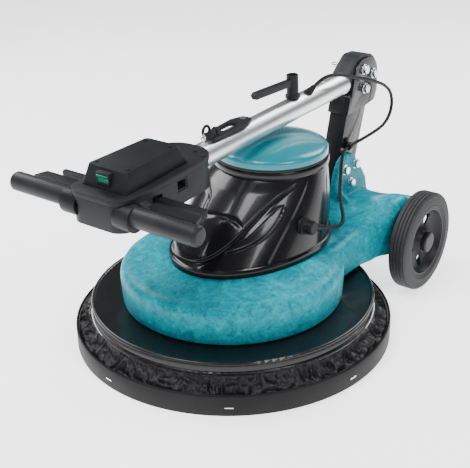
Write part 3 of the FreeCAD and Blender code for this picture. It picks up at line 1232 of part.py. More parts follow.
parts["knuckle_left"] = tilted(knuckle(-KNUCKLE_HALF_WIDTH, KNUCKLE_SEAM_X))
parts["knuckle_right"] = tilted(knuckle(KNUCKLE_SEAM_X, KNUCKLE_HALF_WIDTH))
parts["handle_tube"] = tilted(handle_tube())
parts["tube_screws"] = tilted(tube_screws())
parts["cable_hook"] = tilted(cable_hook())
parts["strain_clip"] = tilted(strain_clip())
parts["head_lower"] = tilted(head_lower())
parts["head_upper"] = tilted(head_upper())
parts["switch_box"] = tilted(switch_box())
parts["switch_bezel"] = tilted(switch_bezel())
parts["rocker_switch"] = tilted(rocker())
parts["hand_grips"] = tilted(hand_grips())
parts["switch_lever_right"] = tilted(switch_lever(1))
parts["switch_lever_left"] = tilted(switch_lever(-1))
parts["safety_paddle"] = tilted(safety_paddle())
parts["lever_pins"] = tilted(lever_pins())
parts["head_screws"] = tilted(head_screws())
parts["microswitch"] = tilted(block(-MICROSWITCH_HALF, MICROSWITCH_HALF,
                                    MICROSWITCH_FRONT, MICROSWITCH_REAR,
                                    AXIS_Z - HEAD_DEPTH + HEAD_WALL, AXIS_Z - 10))
parts["mains_inlet"] = tilted(mains_inlet())


# ---- cord and plug ------------------------------------------------------------------------


def boot(end, beyond, length, radius):
    """A tapered boot whose small face is where the cord starts, square to its first run."""
    way = (beyond - end).normalize()
    return Part.makeCone(radius, BOOT_TIP_RADIUS, length, end - way * length, way)


def grommet():
    exit_boot = boot(vec(*CORD_ROUTE[0]), vec(*CORD_ROUTE[1]), BOOT_LENGTH, BOOT_RADIUS)
    exit_boot = exit_boot.cut(tilted(along_tube(TUBE_RADIUS, GROMMET_Y - 80, GROMMET_Y + 80)))
    seat = AXIS_Z + tube_top(GROMMET_X)
    sleeve = rod(GROMMET_RADIUS, vec(GROMMET_X, GROMMET_Y, seat - 6), vec(GROMMET_X, GROMMET_Y, seat + 3))
    return fuse([exit_boot, tilted(sleeve)])


def motor_plug():
    face = SOCKET_FACE_X
    body = rod(PLUG_RADIUS, vec(face, SOCKET_Y, SOCKET_Z), vec(face + PLUG_LENGTH, SOCKET_Y, SOCKET_Z))
    end = vec(*CORD_ROUTE[-1])
    length = end.distanceToPoint(vec(PLUG_X, SOCKET_Y, SOCKET_Z))
    return fuse([body, boot(end, vec(*CORD_ROUTE[-2]), length, PLUG_BOOT_RADIUS)])


def cord():
    """A round cord along straight runs joined by tangent arcs as large as the runs allow."""
    corners = [vec(*p) for p in CORD_ROUTE]
    edges = []
    reached = corners[0]
    for i in range(1, len(corners) - 1):
        back, ahead = corners[i - 1] - corners[i], corners[i + 1] - corners[i]
        reach = 0.45 * min(back.Length, ahead.Length)
        turn = math.pi - back.getAngle(ahead)
        radius = reach / math.tan(turn / 2)
        print("cord corner %d: turn %.0f deg, radius %.0f mm" % (i, math.degrees(turn), radius))
        start = corners[i] + back.normalize() * reach
        end = corners[i] + ahead.normalize() * reach
        bisector = (back + ahead).normalize()
        middle = corners[i] + bisector * (radius / math.cos(turn / 2) - radius)
        edges.append(Part.LineSegment(reached, start).toShape())
        edges.append(Part.Arc(start, middle, end).toShape())
        reached = end
    edges.append(Part.LineSegment(reached, corners[-1]).toShape())
    path = Part.Wire(edges)
    first = corners[1] - corners[0]
    section = Part.Wire(Part.Circle(corners[0], first, CORD_RADIUS).toShape())
    tube = path.makePipeShell([section], True, True)
    expected = math.pi * CORD_RADIUS ** 2 * path.Length
    print("cord length %.0f mm, volume %.0f of %.0f mm3" % (path.Length, tube.Volume, expected))
    return tube


parts["cord_grommet"] = grommet()
parts["motor_plug"] = motor_plug()
parts["motor_cord"] = cord()

# ---- export -------------------------------------------------------------------------------
os.makedirs("parts", exist_ok=True)
for node, shape in parts.items():
    shape.exportStep("parts/" + node + ".step")
    print("%-20s solids %2d valid %s volume %.0f"
          % (node, len(shape.Solids), shape.isValid(), shape.Volume))
print(len(parts), "nodes")
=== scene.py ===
import json
import math

import bpy
from mathutils import Matrix, Vector, noise


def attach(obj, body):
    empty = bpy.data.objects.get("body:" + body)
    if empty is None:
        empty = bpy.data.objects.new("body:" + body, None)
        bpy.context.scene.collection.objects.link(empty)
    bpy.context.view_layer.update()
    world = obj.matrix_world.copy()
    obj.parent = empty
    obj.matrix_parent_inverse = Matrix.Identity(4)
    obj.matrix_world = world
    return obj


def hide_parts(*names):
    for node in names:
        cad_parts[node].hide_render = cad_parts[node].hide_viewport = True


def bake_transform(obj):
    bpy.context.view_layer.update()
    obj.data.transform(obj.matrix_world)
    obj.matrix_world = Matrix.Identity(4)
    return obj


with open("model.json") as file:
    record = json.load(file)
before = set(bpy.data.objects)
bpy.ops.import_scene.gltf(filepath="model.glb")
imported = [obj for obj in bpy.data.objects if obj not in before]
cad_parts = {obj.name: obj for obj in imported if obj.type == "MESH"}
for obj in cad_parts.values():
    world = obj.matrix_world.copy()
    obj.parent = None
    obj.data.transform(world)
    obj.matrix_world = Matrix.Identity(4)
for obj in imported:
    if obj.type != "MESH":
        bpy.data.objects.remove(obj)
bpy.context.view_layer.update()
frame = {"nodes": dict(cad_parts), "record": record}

# Single-disc floor machine, in metres: -Y is its front, +Y the wheels and the mast, +Z up.
MM = 0.001
MOTOR_Y = 0.131
WHEEL_Y, WHEEL_Z = 0.355, 0.1015


# ---- camera -------------------------------------------------------------------------------
def add_camera():
    data = bpy.data.cameras.new("camera")
    data.sensor_width = 36
    data.lens = 73.66
    camera = bpy.data.objects.new("camera", data)
    bpy.context.scene.collection.objects.link(camera)
    azimuth, roll = math.radians(37.94), math.radians(-1.46)
    back = Vector((0.5578, -0.7156, 0.4204))
    level = Vector((math.cos(azimuth), math.sin(azimuth), 0))
    upright = back.cross(level)
    right = level * math.cos(roll) + upright * math.sin(roll)
    up = upright * math.cos(roll) - level * math.sin(roll)
    turn = Matrix((right, up, back)).transposed().to_4x4()
    camera.matrix_world = Matrix.Translation((1.0029, -1.2751, 0.9466)) @ turn
    bpy.context.scene.camera = camera


add_camera()


# ---- working with meshes ------------------------------------------------------------------
def start_fresh():
    if bpy.context.object and bpy.context.object.mode != "OBJECT":
        bpy.ops.object.mode_set(mode="OBJECT")
    bpy.ops.object.select_all(action="DESELECT")


def named(name):
    piece = bpy.context.object
    piece.name = name
    piece.data.name = name
    return piece


def pick(piece):
    """Makes the piece the only one selected, and the active one."""
    start_fresh()
    piece.select_set(True)
    bpy.context.view_layer.objects.active = piece


def settle(piece):
    """Puts the object's place into its mesh."""
    pick(piece)
    bpy.ops.object.transform_apply(location=True, rotation=True, scale=True)
    return piece


def smooth(piece, degrees=35):
    pick(piece)
    bpy.ops.object.shade_smooth_by_angle(angle=math.radians(degrees))
    return piece


def apply_modifier(piece, kind, **settings):
    pick(piece)
    modifier = piece.modifiers.new(kind.lower(), kind)
    for key, value in settings.items():
        setattr(modifier, key, value)
    bpy.ops.object.modifier_apply(modifier=modifier.name)
    return piece


def edit(piece, *steps):
    """Runs edit-mode steps with everything selected at the start."""
    pick(piece)
    bpy.ops.object.mode_set(mode="EDIT")
    bpy.ops.mesh.select_all(action="SELECT")
    for step in steps:
        step()
    bpy.ops.object.mode_set(mode="OBJECT")
    return piece


def outwards():
    bpy.ops.mesh.select_all(action="SELECT")
    bpy.ops.mesh.normals_make_consistent(inside=False)


def merge():
    bpy.ops.mesh.select_all(action="SELECT")
    bpy.ops.mesh.remove_doubles(threshold=0.00002)


def flatten():
    bpy.ops.mesh.dissolve_limited(angle_limit=math.radians(1))


def select_where(piece, wanted):
    """Selects the vertices whose place is wanted, and leaves edit mode on."""
    pick(piece)
    bpy.ops.object.mode_set(mode="EDIT")
    bpy.ops.mesh.select_mode(type="VERT")
    bpy.ops.mesh.select_all(action="DESELECT")
    bpy.ops.object.mode_set(mode="OBJECT")
    for vertex in piece.data.vertices:
        vertex.select = wanted(vertex.co)
    bpy.ops.object.mode_set(mode="EDIT")


def finish_edit():
    bpy.ops.object.mode_set(mode="OBJECT")


def spin_profile(name, points, axis="Z", centre=(0, 0, 0), steps=128):
    """Turns a closed (radius, height) outline round an axis."""
    start_fresh()
    bpy.ops.mesh.primitive_circle_add(vertices=len(points), radius=1, enter_editmode=False)
    piece = named(name)
    for vertex, (r, h) in zip(piece.data.vertices, points):
        vertex.co = (r, 0, h) if axis == "Z" else (h, r, 0)

    def turn():
        bpy.ops.mesh.select_all(action="SELECT")
        direction = (0, 0, 1) if axis == "Z" else (1, 0, 0)
        bpy.ops.mesh.spin(steps=steps, angle=2 * math.pi, center=(0, 0, 0), axis=direction)

    edit(piece, turn, merge, outwards)
    piece.location = centre
    return settle(piece)


def rounded_copy(node, width):
    """A welded copy of a CAD node with its sharp edges rounded over, standing for the node."""
    source = frame["nodes"][node]
    start_fresh()
    piece = bpy.data.objects.new(node + "_finished", source.data.copy())
    bpy.context.scene.collection.objects.link(piece)
    piece.matrix_world = source.matrix_world
    piece.data.materials.clear()
    edit(piece, merge, flatten)
    apply_modifier(piece, "BEVEL", width=width, segments=3, limit_method="ANGLE",
                   angle_limit=math.radians(30), use_clamp_overlap=True, harden_normals=False)
    smooth(piece, 40)
    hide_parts(node)
    return piece


def join(name, pieces):
    start_fresh()
    for piece in pieces:
        piece.select_set(True)
    bpy.context.view_layer.objects.active = pieces[0]
    bpy.ops.object.join()
    return named(name)


# ---- shader maths -------------------------------------------------------------------------
class Wire:
    """A socket that carries a value and can be used in sums."""

    def __init__(self, finish, socket):
        self.finish = finish
        self.socket = socket

    def maths(self, operation, *values):
        return self.finish.node("Math", {"operation": operation}, *values)

    def __add__(self, other):
        return self.maths("ADD", self, other)

    def __radd__(self, other):
        return self.maths("ADD", other, self)

    def __mul__(self, other):
        return self.maths("MULTIPLY", self, other)


class Finish:
    """A material and the nodes that make it."""

    def __init__(self, name):
        self.material = bpy.data.materials.new(name)
        self.material.use_nodes = True
        self.tree = self.material.node_tree
        self.shader = self.tree.nodes["Principled BSDF"]

    def node(self, kind, settings, *values, output=0, **sockets):
        made = self.tree.nodes.new("ShaderNode" + kind)
        for key, value in settings.items():
            if key == "stops":
                self.set_stops(made.color_ramp, value)
            else:
                setattr(made, key, value)
        for index, value in enumerate(values):
            self.put(made.inputs[index], value)
        for key, value in sockets.items():
            self.put(made.inputs[key.replace("_", " ")], value)
        return Wire(self, made.outputs[output])

    def set_stops(self, ramp, stops):
        while len(ramp.elements) < len(stops):
            ramp.elements.new(0.5)
        for element, (place, colour) in zip(ramp.elements, stops):
            element.position = place
            element.color = tuple(colour) + (1,)

    def put(self, socket, value):
        if isinstance(value, Wire):
            self.tree.links.new(value.socket, socket)
        else:
            socket.default_value = value

    def place(self, stretch=(1, 1, 1)):
        spot = self.node("TexCoord", {}, output="Object")
        if stretch == (1, 1, 1):
            return spot
        return self.node("Mapping", {}, Vector=spot, Scale=stretch)

    def noise(self, scale, detail=4.0, roughness=0.55, distortion=0.0, stretch=(1, 1, 1)):
        return self.node("TexNoise", {}, Vector=self.place(stretch), Scale=scale, Detail=detail,
                         Roughness=roughness, Distortion=distortion)

    def ramp(self, value, *stops):
        return self.node("ValToRGB", {"stops": stops}, Fac=value)

    def bump(self, height, strength, distance):
        return self.node("Bump", {}, Strength=strength, Distance=distance, Height=height)

    def set(self, **sockets):
        for key, value in sockets.items():
            self.put(self.shader.inputs[key.replace("_", " ")], value)
        return self


def moulded(name, colour, rough=0.5, grain=900.0, depth=0.00012, mottle=0.25, wear=0.12, metal=0.0, coat=0.0,
            shine=0.14):
    """Moulded plastic or paint: fine grain, slow colour drift and faint rubbing."""
    finish = Finish(name)
    drift = finish.noise(9.0, 3.0)
    fine = finish.noise(grain, 2.0)
    rub = finish.noise(38.0, 8.0, 0.75, 0.4)
    dark = [c * (1 - mottle) for c in colour]
    pale = [min(1.0, c * (1 + mottle) + wear * 0.05) for c in colour]
    tint = finish.ramp(drift * 0.7 + rub * 0.3, (0.3, dark), (0.7, pale))
    finish.set(Base_Color=tint, Metallic=metal, Coat_Weight=coat, Coat_Roughness=0.06,
               Specular_IOR_Level=shine, Roughness=rough - 0.1 + rub * 0.2,
               Normal=finish.bump(fine, 0.35, depth))
    return finish.material


def marbled_teal():
    """Swirled teal moulding: bright veins over a deeper ground, with a slightly rippled gloss."""
    finish = Finish("marbled_teal")
    swirl = finish.noise(30.0, 9.0, 0.66, 1.4)
    fleck = finish.noise(130.0, 7.0, 0.72, 0.8)
    tint = finish.ramp(swirl * 0.5 + fleck * 0.5, (0.39, (0.0, 0.140, 0.185)), (0.47, (0.0, 0.210, 0.270)),
                       (0.54, (0.0, 0.270, 0.335)), (0.62, (0.0, 0.39, 0.46)))
    ripple = finish.noise(60.0, 4.0, 0.6, 0.8)
    finish.set(Base_Color=tint, Roughness=0.30 + fleck * 0.18, Normal=finish.bump(ripple, 0.25, 0.0008),
               Coat_Weight=0.0, Specular_IOR_Level=0.11)
    return finish.material


def lid_teal():
    finish = Finish("lid_teal")
    drift = finish.noise(12.0, 5.0, 0.6)
    scuff = finish.noise(160.0, 8.0, 0.8, 0.2, (1, 0.15, 1))
    tint = finish.ramp(drift, (0.3, (0.0, 0.165, 0.208)), (0.7, (0.0, 0.185, 0.232)))
    finish.set(Base_Color=tint, Roughness=0.18 + scuff * 0.14, Coat_Weight=0.25, Coat_Roughness=0.05,
               Specular_IOR_Level=0.35,
               Normal=finish.bump(finish.noise(220.0, 2.0), 0.15, 0.0002))
    return finish.material


def brushed(name, colour, rough=0.32, stretch=(1, 0.02, 1), scale=600.0):
    """Drawn or brushed metal with fine lines along one direction."""
    finish = Finish(name)
    lines = finish.noise(scale, 3.0, 0.6, 0.0, stretch)
    drift = finish.noise(14.0, 3.0)
    tint = finish.ramp(lines * 0.5 + drift * 0.5, (0.3, [c * 0.82 for c in colour]), (0.7, colour))
    finish.set(Base_Color=tint, Metallic=1.0, Roughness=rough - 0.08 + lines * 0.16,
               Normal=finish.bump(lines, 0.12, 0.0002))
    return finish.material


def tyre_rubber():
    finish = Finish("tyre_rubber")
    dust = finish.noise(26.0, 7.0, 0.7, 0.6)
    grain = finish.noise(700.0, 3.0)
    tint = finish.ramp(dust, (0.35, (0.009, 0.009, 0.010)), (0.7, (0.022, 0.023, 0.025)))
    finish.set(Base_Color=tint, Roughness=0.62 + dust * 0.2, Normal=finish.bump(grain, 0.3, 0.0002))
    return finish.material


def skirt_cloth():
    """Coated nylon: a fine weave and a soft sheen on its folds."""
    finish = Finish("skirt_cloth")
    weave = finish.node("TexWave", {"wave_type": "RINGS", "rings_direction": "Z"}, Vector=finish.place(),
                        Scale=260.0, Distortion=3.0, Detail=2.0, output=1)
    crumple = finish.noise(70.0, 6.0, 0.7, 0.5)
    tint = finish.ramp(crumple, (0.3, (0.003, 0.003, 0.004)), (0.7, (0.009, 0.009, 0.011)))
    finish.set(Base_Color=tint, Roughness=0.24 + crumple * 0.24, Specular_IOR_Level=0.26,
               Normal=finish.bump(weave * 0.25 + crumple, 0.45, 0.0012))
    return finish.material


def pad_fibre():
    finish = Finish("pad_fibre")
    strands = finish.noise(420.0, 8.0, 0.8, 2.5)
    tint = finish.ramp(strands, (0.35, (0.30, 0.02, 0.015)), (0.65, (0.62, 0.09, 0.06)))
    finish.set(Base_Color=tint, Roughness=0.9, Normal=finish.bump(strands, 0.9, 0.0015))
    return finish.material


LOOKS = {
    "casting_paint": marbled_teal(),
    "lid_teal": lid_teal(),
    "black_gloss": moulded("black_gloss", (0.006, 0.006, 0.007), 0.24, 1400, 0.00005, 0.3, 0.0, coat=0.2,
                           shine=0.18),
    "deck_paint": moulded("deck_paint", (0.005, 0.005, 0.006), 0.30, 1100, 0.00006, 0.3, 0.0, coat=0.15,
                          shine=0.3),
    "ring_plastic": moulded("ring_plastic", (0.005, 0.005, 0.005), 0.55, 800, 0.00015, 0.2, 0.1),
    "dark_plastic": moulded("dark_plastic", (0.005, 0.006, 0.007), 0.46, 1200, 0.00016, 0.25, 0.2),
    "grip_rubber": moulded("grip_rubber", (0.012, 0.013, 0.015), 0.42, 1400, 0.0001, 0.2, 0.2),
    "steel": brushed("steel", (0.55, 0.55, 0.56)),
    "zinc": brushed("zinc", (0.80, 0.81, 0.82), 0.24, (1, 1, 1), 240.0),
    "aluminium": brushed("aluminium", (0.80, 0.81, 0.83), 0.36),
    "iron": moulded("iron", (0.12, 0.12, 0.12), 0.6, 300, 0.0005, 0.3, 0.3, metal=0.8),
    "copper": brushed("copper", (0.72, 0.36, 0.18), 0.4),
    "mast_paint": moulded("mast_paint", (0.008, 0.008, 0.009), 0.32, 700, 0.00015, 0.3, 0.3, coat=0.3),
    "tyre_rubber": tyre_rubber(),
    "rim_plastic": moulded("rim_plastic", (0.013, 0.013, 0.015), 0.42, 900, 0.0001, 0.25, 0.2),
    "rubber": moulded("rubber", (0.007, 0.007, 0.008), 0.5, 900, 0.00012, 0.25, 0.2),
    "red_rubber": moulded("red_rubber", (0.50, 0.015, 0.012), 0.5, 800, 0.0001, 0.2, 0.2),
    "pale_plastic": moulded("pale_plastic", (0.50, 0.49, 0.46), 0.42, 900, 0.0001, 0.12, 0.2),
    "knuckle_plastic": moulded("knuckle_plastic", (0.020, 0.022, 0.024), 0.42, 900, 0.00012, 0.2, 0.2),
    "switch_green": moulded("switch_green", (0.0, 0.16, 0.085), 0.3, 900, 0.00008, 0.2, 0.1, coat=0.4),
    "pad_fibre": pad_fibre(),
    "skirt_cloth": skirt_cloth(),
}


def give(piece, slot, look=None):
    """A material and its record slot."""
    piece.data.materials.clear()
    piece.data.materials.append(LOOKS[look or slot])
    return piece


def paint_node(name, look):
    node = frame["nodes"][name]
    for slot in node.material_slots:
        slot.material = LOOKS[look]
    if not node.material_slots:
        node.data.materials.append(LOOKS[look])


node_slot = {part["node"]: part["material_slot"] for part in frame["record"]["subparts"]}
for node, slot in node_slot.items():
    paint_node(node, slot)
# Painted shade: the head's screws take the near-black rubber finish so that they read as dark, shaded screw
# recesses rather than as bright screw heads.
paint_node("head_screws", "rubber")


# ---- cord ---------------------------------------------------------------------------------
CORD_RADIUS = 0.0035
CORD_ROUTE = [
    (0.012, 0.258, 0.416), (0.017, 0.276, 0.428), (0.024, 0.304, 0.431), (0.031, 0.334, 0.424),
    (0.037, 0.367, 0.413), (0.042, 0.402, 0.402), (0.045, 0.440, 0.388), (0.047, 0.478, 0.372),
    (0.048, 0.508, 0.347), (0.047, 0.514, 0.310), (0.045, 0.492, 0.283), (0.042, 0.456, 0.275),
    (0.036, 0.418, 0.269), (0.030, 0.384, 0.2643), (0.030, 0.352, 0.2637), (0.039, 0.323, 0.252),
    (0.052, 0.300, 0.228), (0.066, 0.274, 0.204), (0.088, 0.246, 0.187), (0.113, 0.214, 0.179),
    (0.131, 0.177, 0.181), (0.134, 0.141, 0.190), (0.134, 0.1045, 0.204),
]


def route_curve(name, bevel):
    data = bpy.data.curves.new(name, "CURVE")
    data.dimensions = "3D"
    data.bevel_depth = bevel
    data.bevel_resolution = 5
    data.use_fill_caps = True
    data.resolution_u = 10
    spline = data.splines.new("NURBS")
    spline.points.add(len(CORD_ROUTE) - 1)
    for point, place in zip(spline.points, CORD_ROUTE):
        point.co = (*place, 1)
    spline.order_u = 3
    spline.use_endpoint_u = True
    curve = bpy.data.objects.new(name, data)
    bpy.context.scene.collection.objects.link(curve)
    return curve


def mesh_from(curve, name):
    bpy.context.view_layer.update()
    data = bpy.data.meshes.new_from_object(curve.evaluated_get(bpy.context.evaluated_depsgraph_get()))
    bpy.data.objects.remove(curve)
    data.name = name
    return data


def add_plug():
    """The ribbed connector in the motor socket, with a round flange and a ringed boot to the cord."""
    x, y, z = 0.124, 0.058, 0.222
    outline = [(0, 0.4), (15.2, 0.4), (16, 1.4), (16, 3.4), (13.4, 4.4)]
    for rib in range(4):
        start = 5.2 + rib * 3.6
        outline += [(13.4, start), (13.4, start + 2.2), (12.2, start + 2.6), (12.2, start + 3.2)]
    outline += [(12.4, 20.4), (10.8, 22), (0, 22)]
    body = spin_profile("plug_body", [(r * MM, x + d * MM) for r, d in outline], axis="X", centre=(0, y, z),
                        steps=48)
    end = Vector(CORD_ROUTE[-1])
    root = Vector((0.134, y, z))
    way = end - root
    length = way.length
    sleeve = []
    for ring in range(7):
        start = length * (0.30 + 0.10 * ring)
        radius = 8.8 - 0.62 * ring
        sleeve += [(radius * MM, start), (radius * MM, start + 0.0026)]
        sleeve += [((radius - 1.1) * MM, start + 0.0032)]
    outline = [(0, 0.004), (0.009, 0.004)] + sleeve + [(0.0047, length), (0, length)]
    boot = spin_profile("plug_boot", outline, steps=40)
    boot.rotation_mode = "QUATERNION"
    boot.rotation_quaternion = way.to_track_quat("Z", "Y")
    boot.location = root
    settle(boot)
    plug = join("cord_plug", [body, boot])
    smooth(plug, 40)
    give(plug, "rubber")
    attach(plug, "chassis")
    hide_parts("motor_plug")
    return plug


def add_cord():
    plug = add_plug()
    line = mesh_from(route_curve("cord_line", 0.0), "cord_line")
    data = mesh_from(route_curve("cord_tube", CORD_RADIUS), "cord_tube")
    tube = bpy.data.objects.new("cord_tube", data)
    bpy.context.scene.collection.objects.link(tube)
    edit(tube, merge, outwards)
    smooth(tube, 60)
    give(tube, "rubber")
    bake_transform(tube)
    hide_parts("motor_cord")


add_cord()


# ---- skirt and ring -----------------------------------------------------------------------
SKIRT_TOP = 0.0600
SKIRT_TOP_RADIUS = 0.2695
SKIRT_DROP = 0.0265


def add_skirt():
    """Gathered cloth from the deck's lower bead down inside the ring's band, with crumpled folds."""
    start_fresh()
    bpy.ops.mesh.primitive_circle_add(vertices=1440, radius=SKIRT_TOP_RADIUS, location=(0, 0, SKIRT_TOP))
    skirt = named("dust_skirt_cloth")
    profile = [(0.2704, 0.0590), (0.2716, 0.0575), (0.2730, 0.0557), (0.2746, 0.0539), (0.2764, 0.0521),
               (0.2784, 0.0504), (0.2805, 0.0488), (0.2827, 0.0473), (0.2849, 0.0459), (0.2870, 0.0444),
               (0.2890, 0.0426), (0.2909, 0.0403), (0.2927, 0.0372), (0.2944, 0.0335)]

    def drop():
        radius, height = SKIRT_TOP_RADIUS, SKIRT_TOP
        for r, z in profile:
            bpy.ops.mesh.extrude_region_move(TRANSFORM_OT_translate={"value": (0, 0, z - height)})
            factor = r / radius
            bpy.ops.transform.resize(value=(factor, factor, 1))
            radius, height = r, z

    edit(skirt, drop, outwards)
    settle(skirt)
    for vertex in skirt.data.vertices:
        co = vertex.co
        turn = math.atan2(co.y, co.x)
        depth = min(1.0, max(0.0, (SKIRT_TOP - co.z) / SKIRT_DROP))
        belly = math.sin(math.pi * depth) ** 0.7
        ring = Vector((math.cos(turn), math.sin(turn), 0))
        lean = ring * 11 + Vector((0, 0, depth * 0.9))
        warp = Vector((noise.noise(lean * 1.7), noise.noise(lean * 1.7 + Vector((9, 2, 4))), 0)) * 0.5
        folds = 1 - abs(noise.noise(lean + warp)) * 3.2
        creases = 1 - abs(noise.noise((lean + warp) * 2.6 + Vector((5, 1, depth)))) * 2.6
        gathers = math.sin(turn * 170 + noise.noise(ring * 14) * 5) * max(0.0, 1 - depth * 2.2)
        move = belly * (0.0052 * folds + 0.0018 * creases - 0.0044) + 0.0009 * gathers * belly
        vertex.co = co + ring * move * 0.6 + Vector((0, 0, move * 0.9))
    smooth(skirt, 80)
    apply_modifier(skirt, "SOLIDIFY", thickness=0.0006, offset=0)
    give(skirt, "skirt_cloth")
    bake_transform(skirt)
    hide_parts("dust_skirt")


add_skirt()


def add_band():
    """The ring's band: a thin upright wall with a rolled top edge and a rounded foot."""
    outline = [(296.2, 1.0), (297.5, 0), (299, 0), (300, 1.2), (300, 36.5), (299.4, 38.8), (297.8, 40),
               (296.2, 39.6), (295.4, 38.4), (295.4, 36.8), (296.6, 35.6), (296.6, 3)]
    band = spin_profile("ring_band", [(r * MM, z * MM) for r, z in outline], steps=240)
    smooth(band, 50)
    give(band, "ring_plastic")
    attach(band, "ring")
    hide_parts("dust_ring")


add_band()


def add_staples():
    """Bright wire staples that hold the skirt to the ring's band."""
    for i in range(8):
        start_fresh()
        bpy.ops.mesh.primitive_cube_add(size=1, location=(0.3004, 0, 0.017))
        staple = named("ring_staple_%d" % (i + 1))
        staple.scale = (0.0012, 0.0150, 0.0022)
        settle(staple)
        apply_modifier(staple, "BEVEL", width=0.0005, segments=2)
        staple.rotation_euler.z = math.radians(-99 + 45 * i)
        settle(staple)
        give(staple, "zinc")
        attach(staple, "ring")


add_staples()


# ---- casting ------------------------------------------------------------------------------
def smoothstep(low, high, value):
    share = min(1.0, max(0.0, (value - low) / (high - low)))
    return share * share * (3 - 2 * share)


def along(value, *stops):
    """Eases through (place, size) stops."""
    for (a, first), (b, second) in zip(stops, stops[1:]):
        if value <= b:
            return first + (second - first) * smoothstep(a, b, value)
    return stops[-1][1]


def add_hub():
    outline = [(0, 68), (207, 68), (208.5, 90), (210, 112), (210.5, 128), (209, 138), (205, 145),
               (199, 149.5), (190, 152), (172, 154.5), (150, 159), (132, 161), (0, 161)]
    return spin_profile("hub", [(r * MM, z * MM) for r, z in outline], steps=160)


def add_arm():
    """The arm as rows of cross-sections, from inside the hub back past the wheels."""
    across = 40
    rows = 96
    first, last = 0.050, 0.446
    start_fresh()
    bpy.ops.mesh.primitive_grid_add(x_subdivisions=across, y_subdivisions=rows, size=1)
    arm = named("arm")
    for vertex in arm.data.vertices:
        share = vertex.co.x * 2
        y = first + (vertex.co.y + 0.5) * (last - first)
        end = max(0.0, (y - 0.412) / 0.034)
        half = along(y, (0.05, 0.150), (0.115, 0.156), (0.205, 0.155), (0.255, 0.164), (0.305, 0.184),
                     (0.45, 0.184))
        half -= 0.034 * (1 - math.sqrt(max(0.0, 1 - end * end)))
        crest = along(y, (0.05, 0.150), (0.15, 0.153), (0.215, 0.157), (0.262, 0.170), (0.312, 0.194),
                      (0.345, 0.194), (0.390, 0.176), (0.425, 0.158), (0.446, 0.140))
        valley = along(y, (0.05, 0.158), (0.40, 0.160), (0.446, 0.142))
        x = half * math.copysign(abs(share) ** 0.8, share)
        reach = abs(x)
        rise = smoothstep(0.066 + 0.045 * smoothstep(0.30, 0.20, y), half - 0.024, reach)
        z = valley + (crest - valley) * rise
        edge = max(0.0, (reach - (half - 0.019)) / 0.019)
        z -= 0.018 * (1 - math.sqrt(max(0.0, 1 - edge * edge)))
        vertex.co = (x, y, z)

    floor = 0.086

    def close_down():
        bpy.ops.mesh.select_mode(type="EDGE")
        bpy.ops.mesh.select_all(action="DESELECT")
        bpy.ops.mesh.select_non_manifold()
        bpy.ops.mesh.extrude_region_move(TRANSFORM_OT_translate={"value": (0, 0, -0.2)})
        bpy.ops.mesh.edge_face_add()

    edit(arm, close_down)
    for vertex in arm.data.vertices:
        if vertex.co.z < floor:
            vertex.co.z = floor
    edit(arm, outwards)
    return arm


def add_ear(side):
    """The rounded ear beside the mast's foot, as an extruded outline with its edge rounded over."""
    outline = [(306, 140), (308, 190), (316, 218), (329, 240), (349, 251), (371, 251), (388, 240),
               (400, 222), (420, 199), (436, 176), (444, 140)]
    start_fresh()
    bpy.ops.mesh.primitive_circle_add(vertices=len(outline), radius=1, fill_type="NGON")
    ear = named("ear")
    inner, outer = 0.0212, 0.0345
    for vertex, (y, z) in zip(ear.data.vertices, outline):
        vertex.co = (side * inner, y * MM, z * MM)

    def thicken():
        bpy.ops.mesh.extrude_region_move(TRANSFORM_OT_translate={"value": (side * (outer - inner), 0, 0)})

    edit(ear, thicken, outwards)
    return ear


def add_rib(side):
    """The web that runs outboard from the ear's front edge down into the arm."""
    start_fresh()
    bpy.ops.mesh.primitive_cube_add(size=1, location=(side * 0.046, 0.318, 0.170))
    rib = named("rib")
    rib.scale = (0.040, 0.014, 0.050)
    settle(rib)
    select_where(rib, lambda place: abs(place.x) > 0.05 and place.z > 0.18)
    bpy.ops.transform.translate(value=(0, 0, -0.030))
    finish_edit()
    return rib


def cut_with(piece, cutter):
    apply_modifier(piece, "BOOLEAN", object=cutter, operation="DIFFERENCE", solver="EXACT")
    bpy.data.objects.remove(cutter)
    return piece


def block(name, low, high, bevel=0.0):
    start_fresh()
    centre = [(a + b) / 2 for a, b in zip(low, high)]
    bpy.ops.mesh.primitive_cube_add(size=1, location=centre)
    made = named(name)
    made.scale = [b - a for a, b in zip(low, high)]
    settle(made)
    if bevel:
        apply_modifier(made, "BEVEL", width=bevel, segments=3)
    return made


def model_casting():
    """One moulding: round hub with a soft crest, an arm that flares to the wheels, and the mast's ears."""
    bodies = [add_hub(), add_arm(), add_ear(1), add_ear(-1), add_rib(1), add_rib(-1)]
    casting = join("casting_shell", bodies)
    apply_modifier(casting, "REMESH", mode="VOXEL", voxel_size=0.0027)
    apply_modifier(casting, "SMOOTH", factor=0.5, iterations=7)
    cut_with(casting, block("below_hub", (-0.25, -0.25, 0.05), (0.25, 0.214, 0.0822)))
    room = block("room", (-0.146, 0.255, 0.070), (0.146, 0.434, 0.146), 0.012)
    cut_with(casting, room)
    bell = spin_profile("bell", [(0, 0.070), (0.196, 0.070), (0.196, 0.122), (0.130, 0.146), (0, 0.146)],
                        steps=96)
    cut_with(casting, bell)
    smooth(casting, 50)
    give(casting, "casting_paint")
    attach(casting, "chassis")
    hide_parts("chassis_casting")


model_casting()


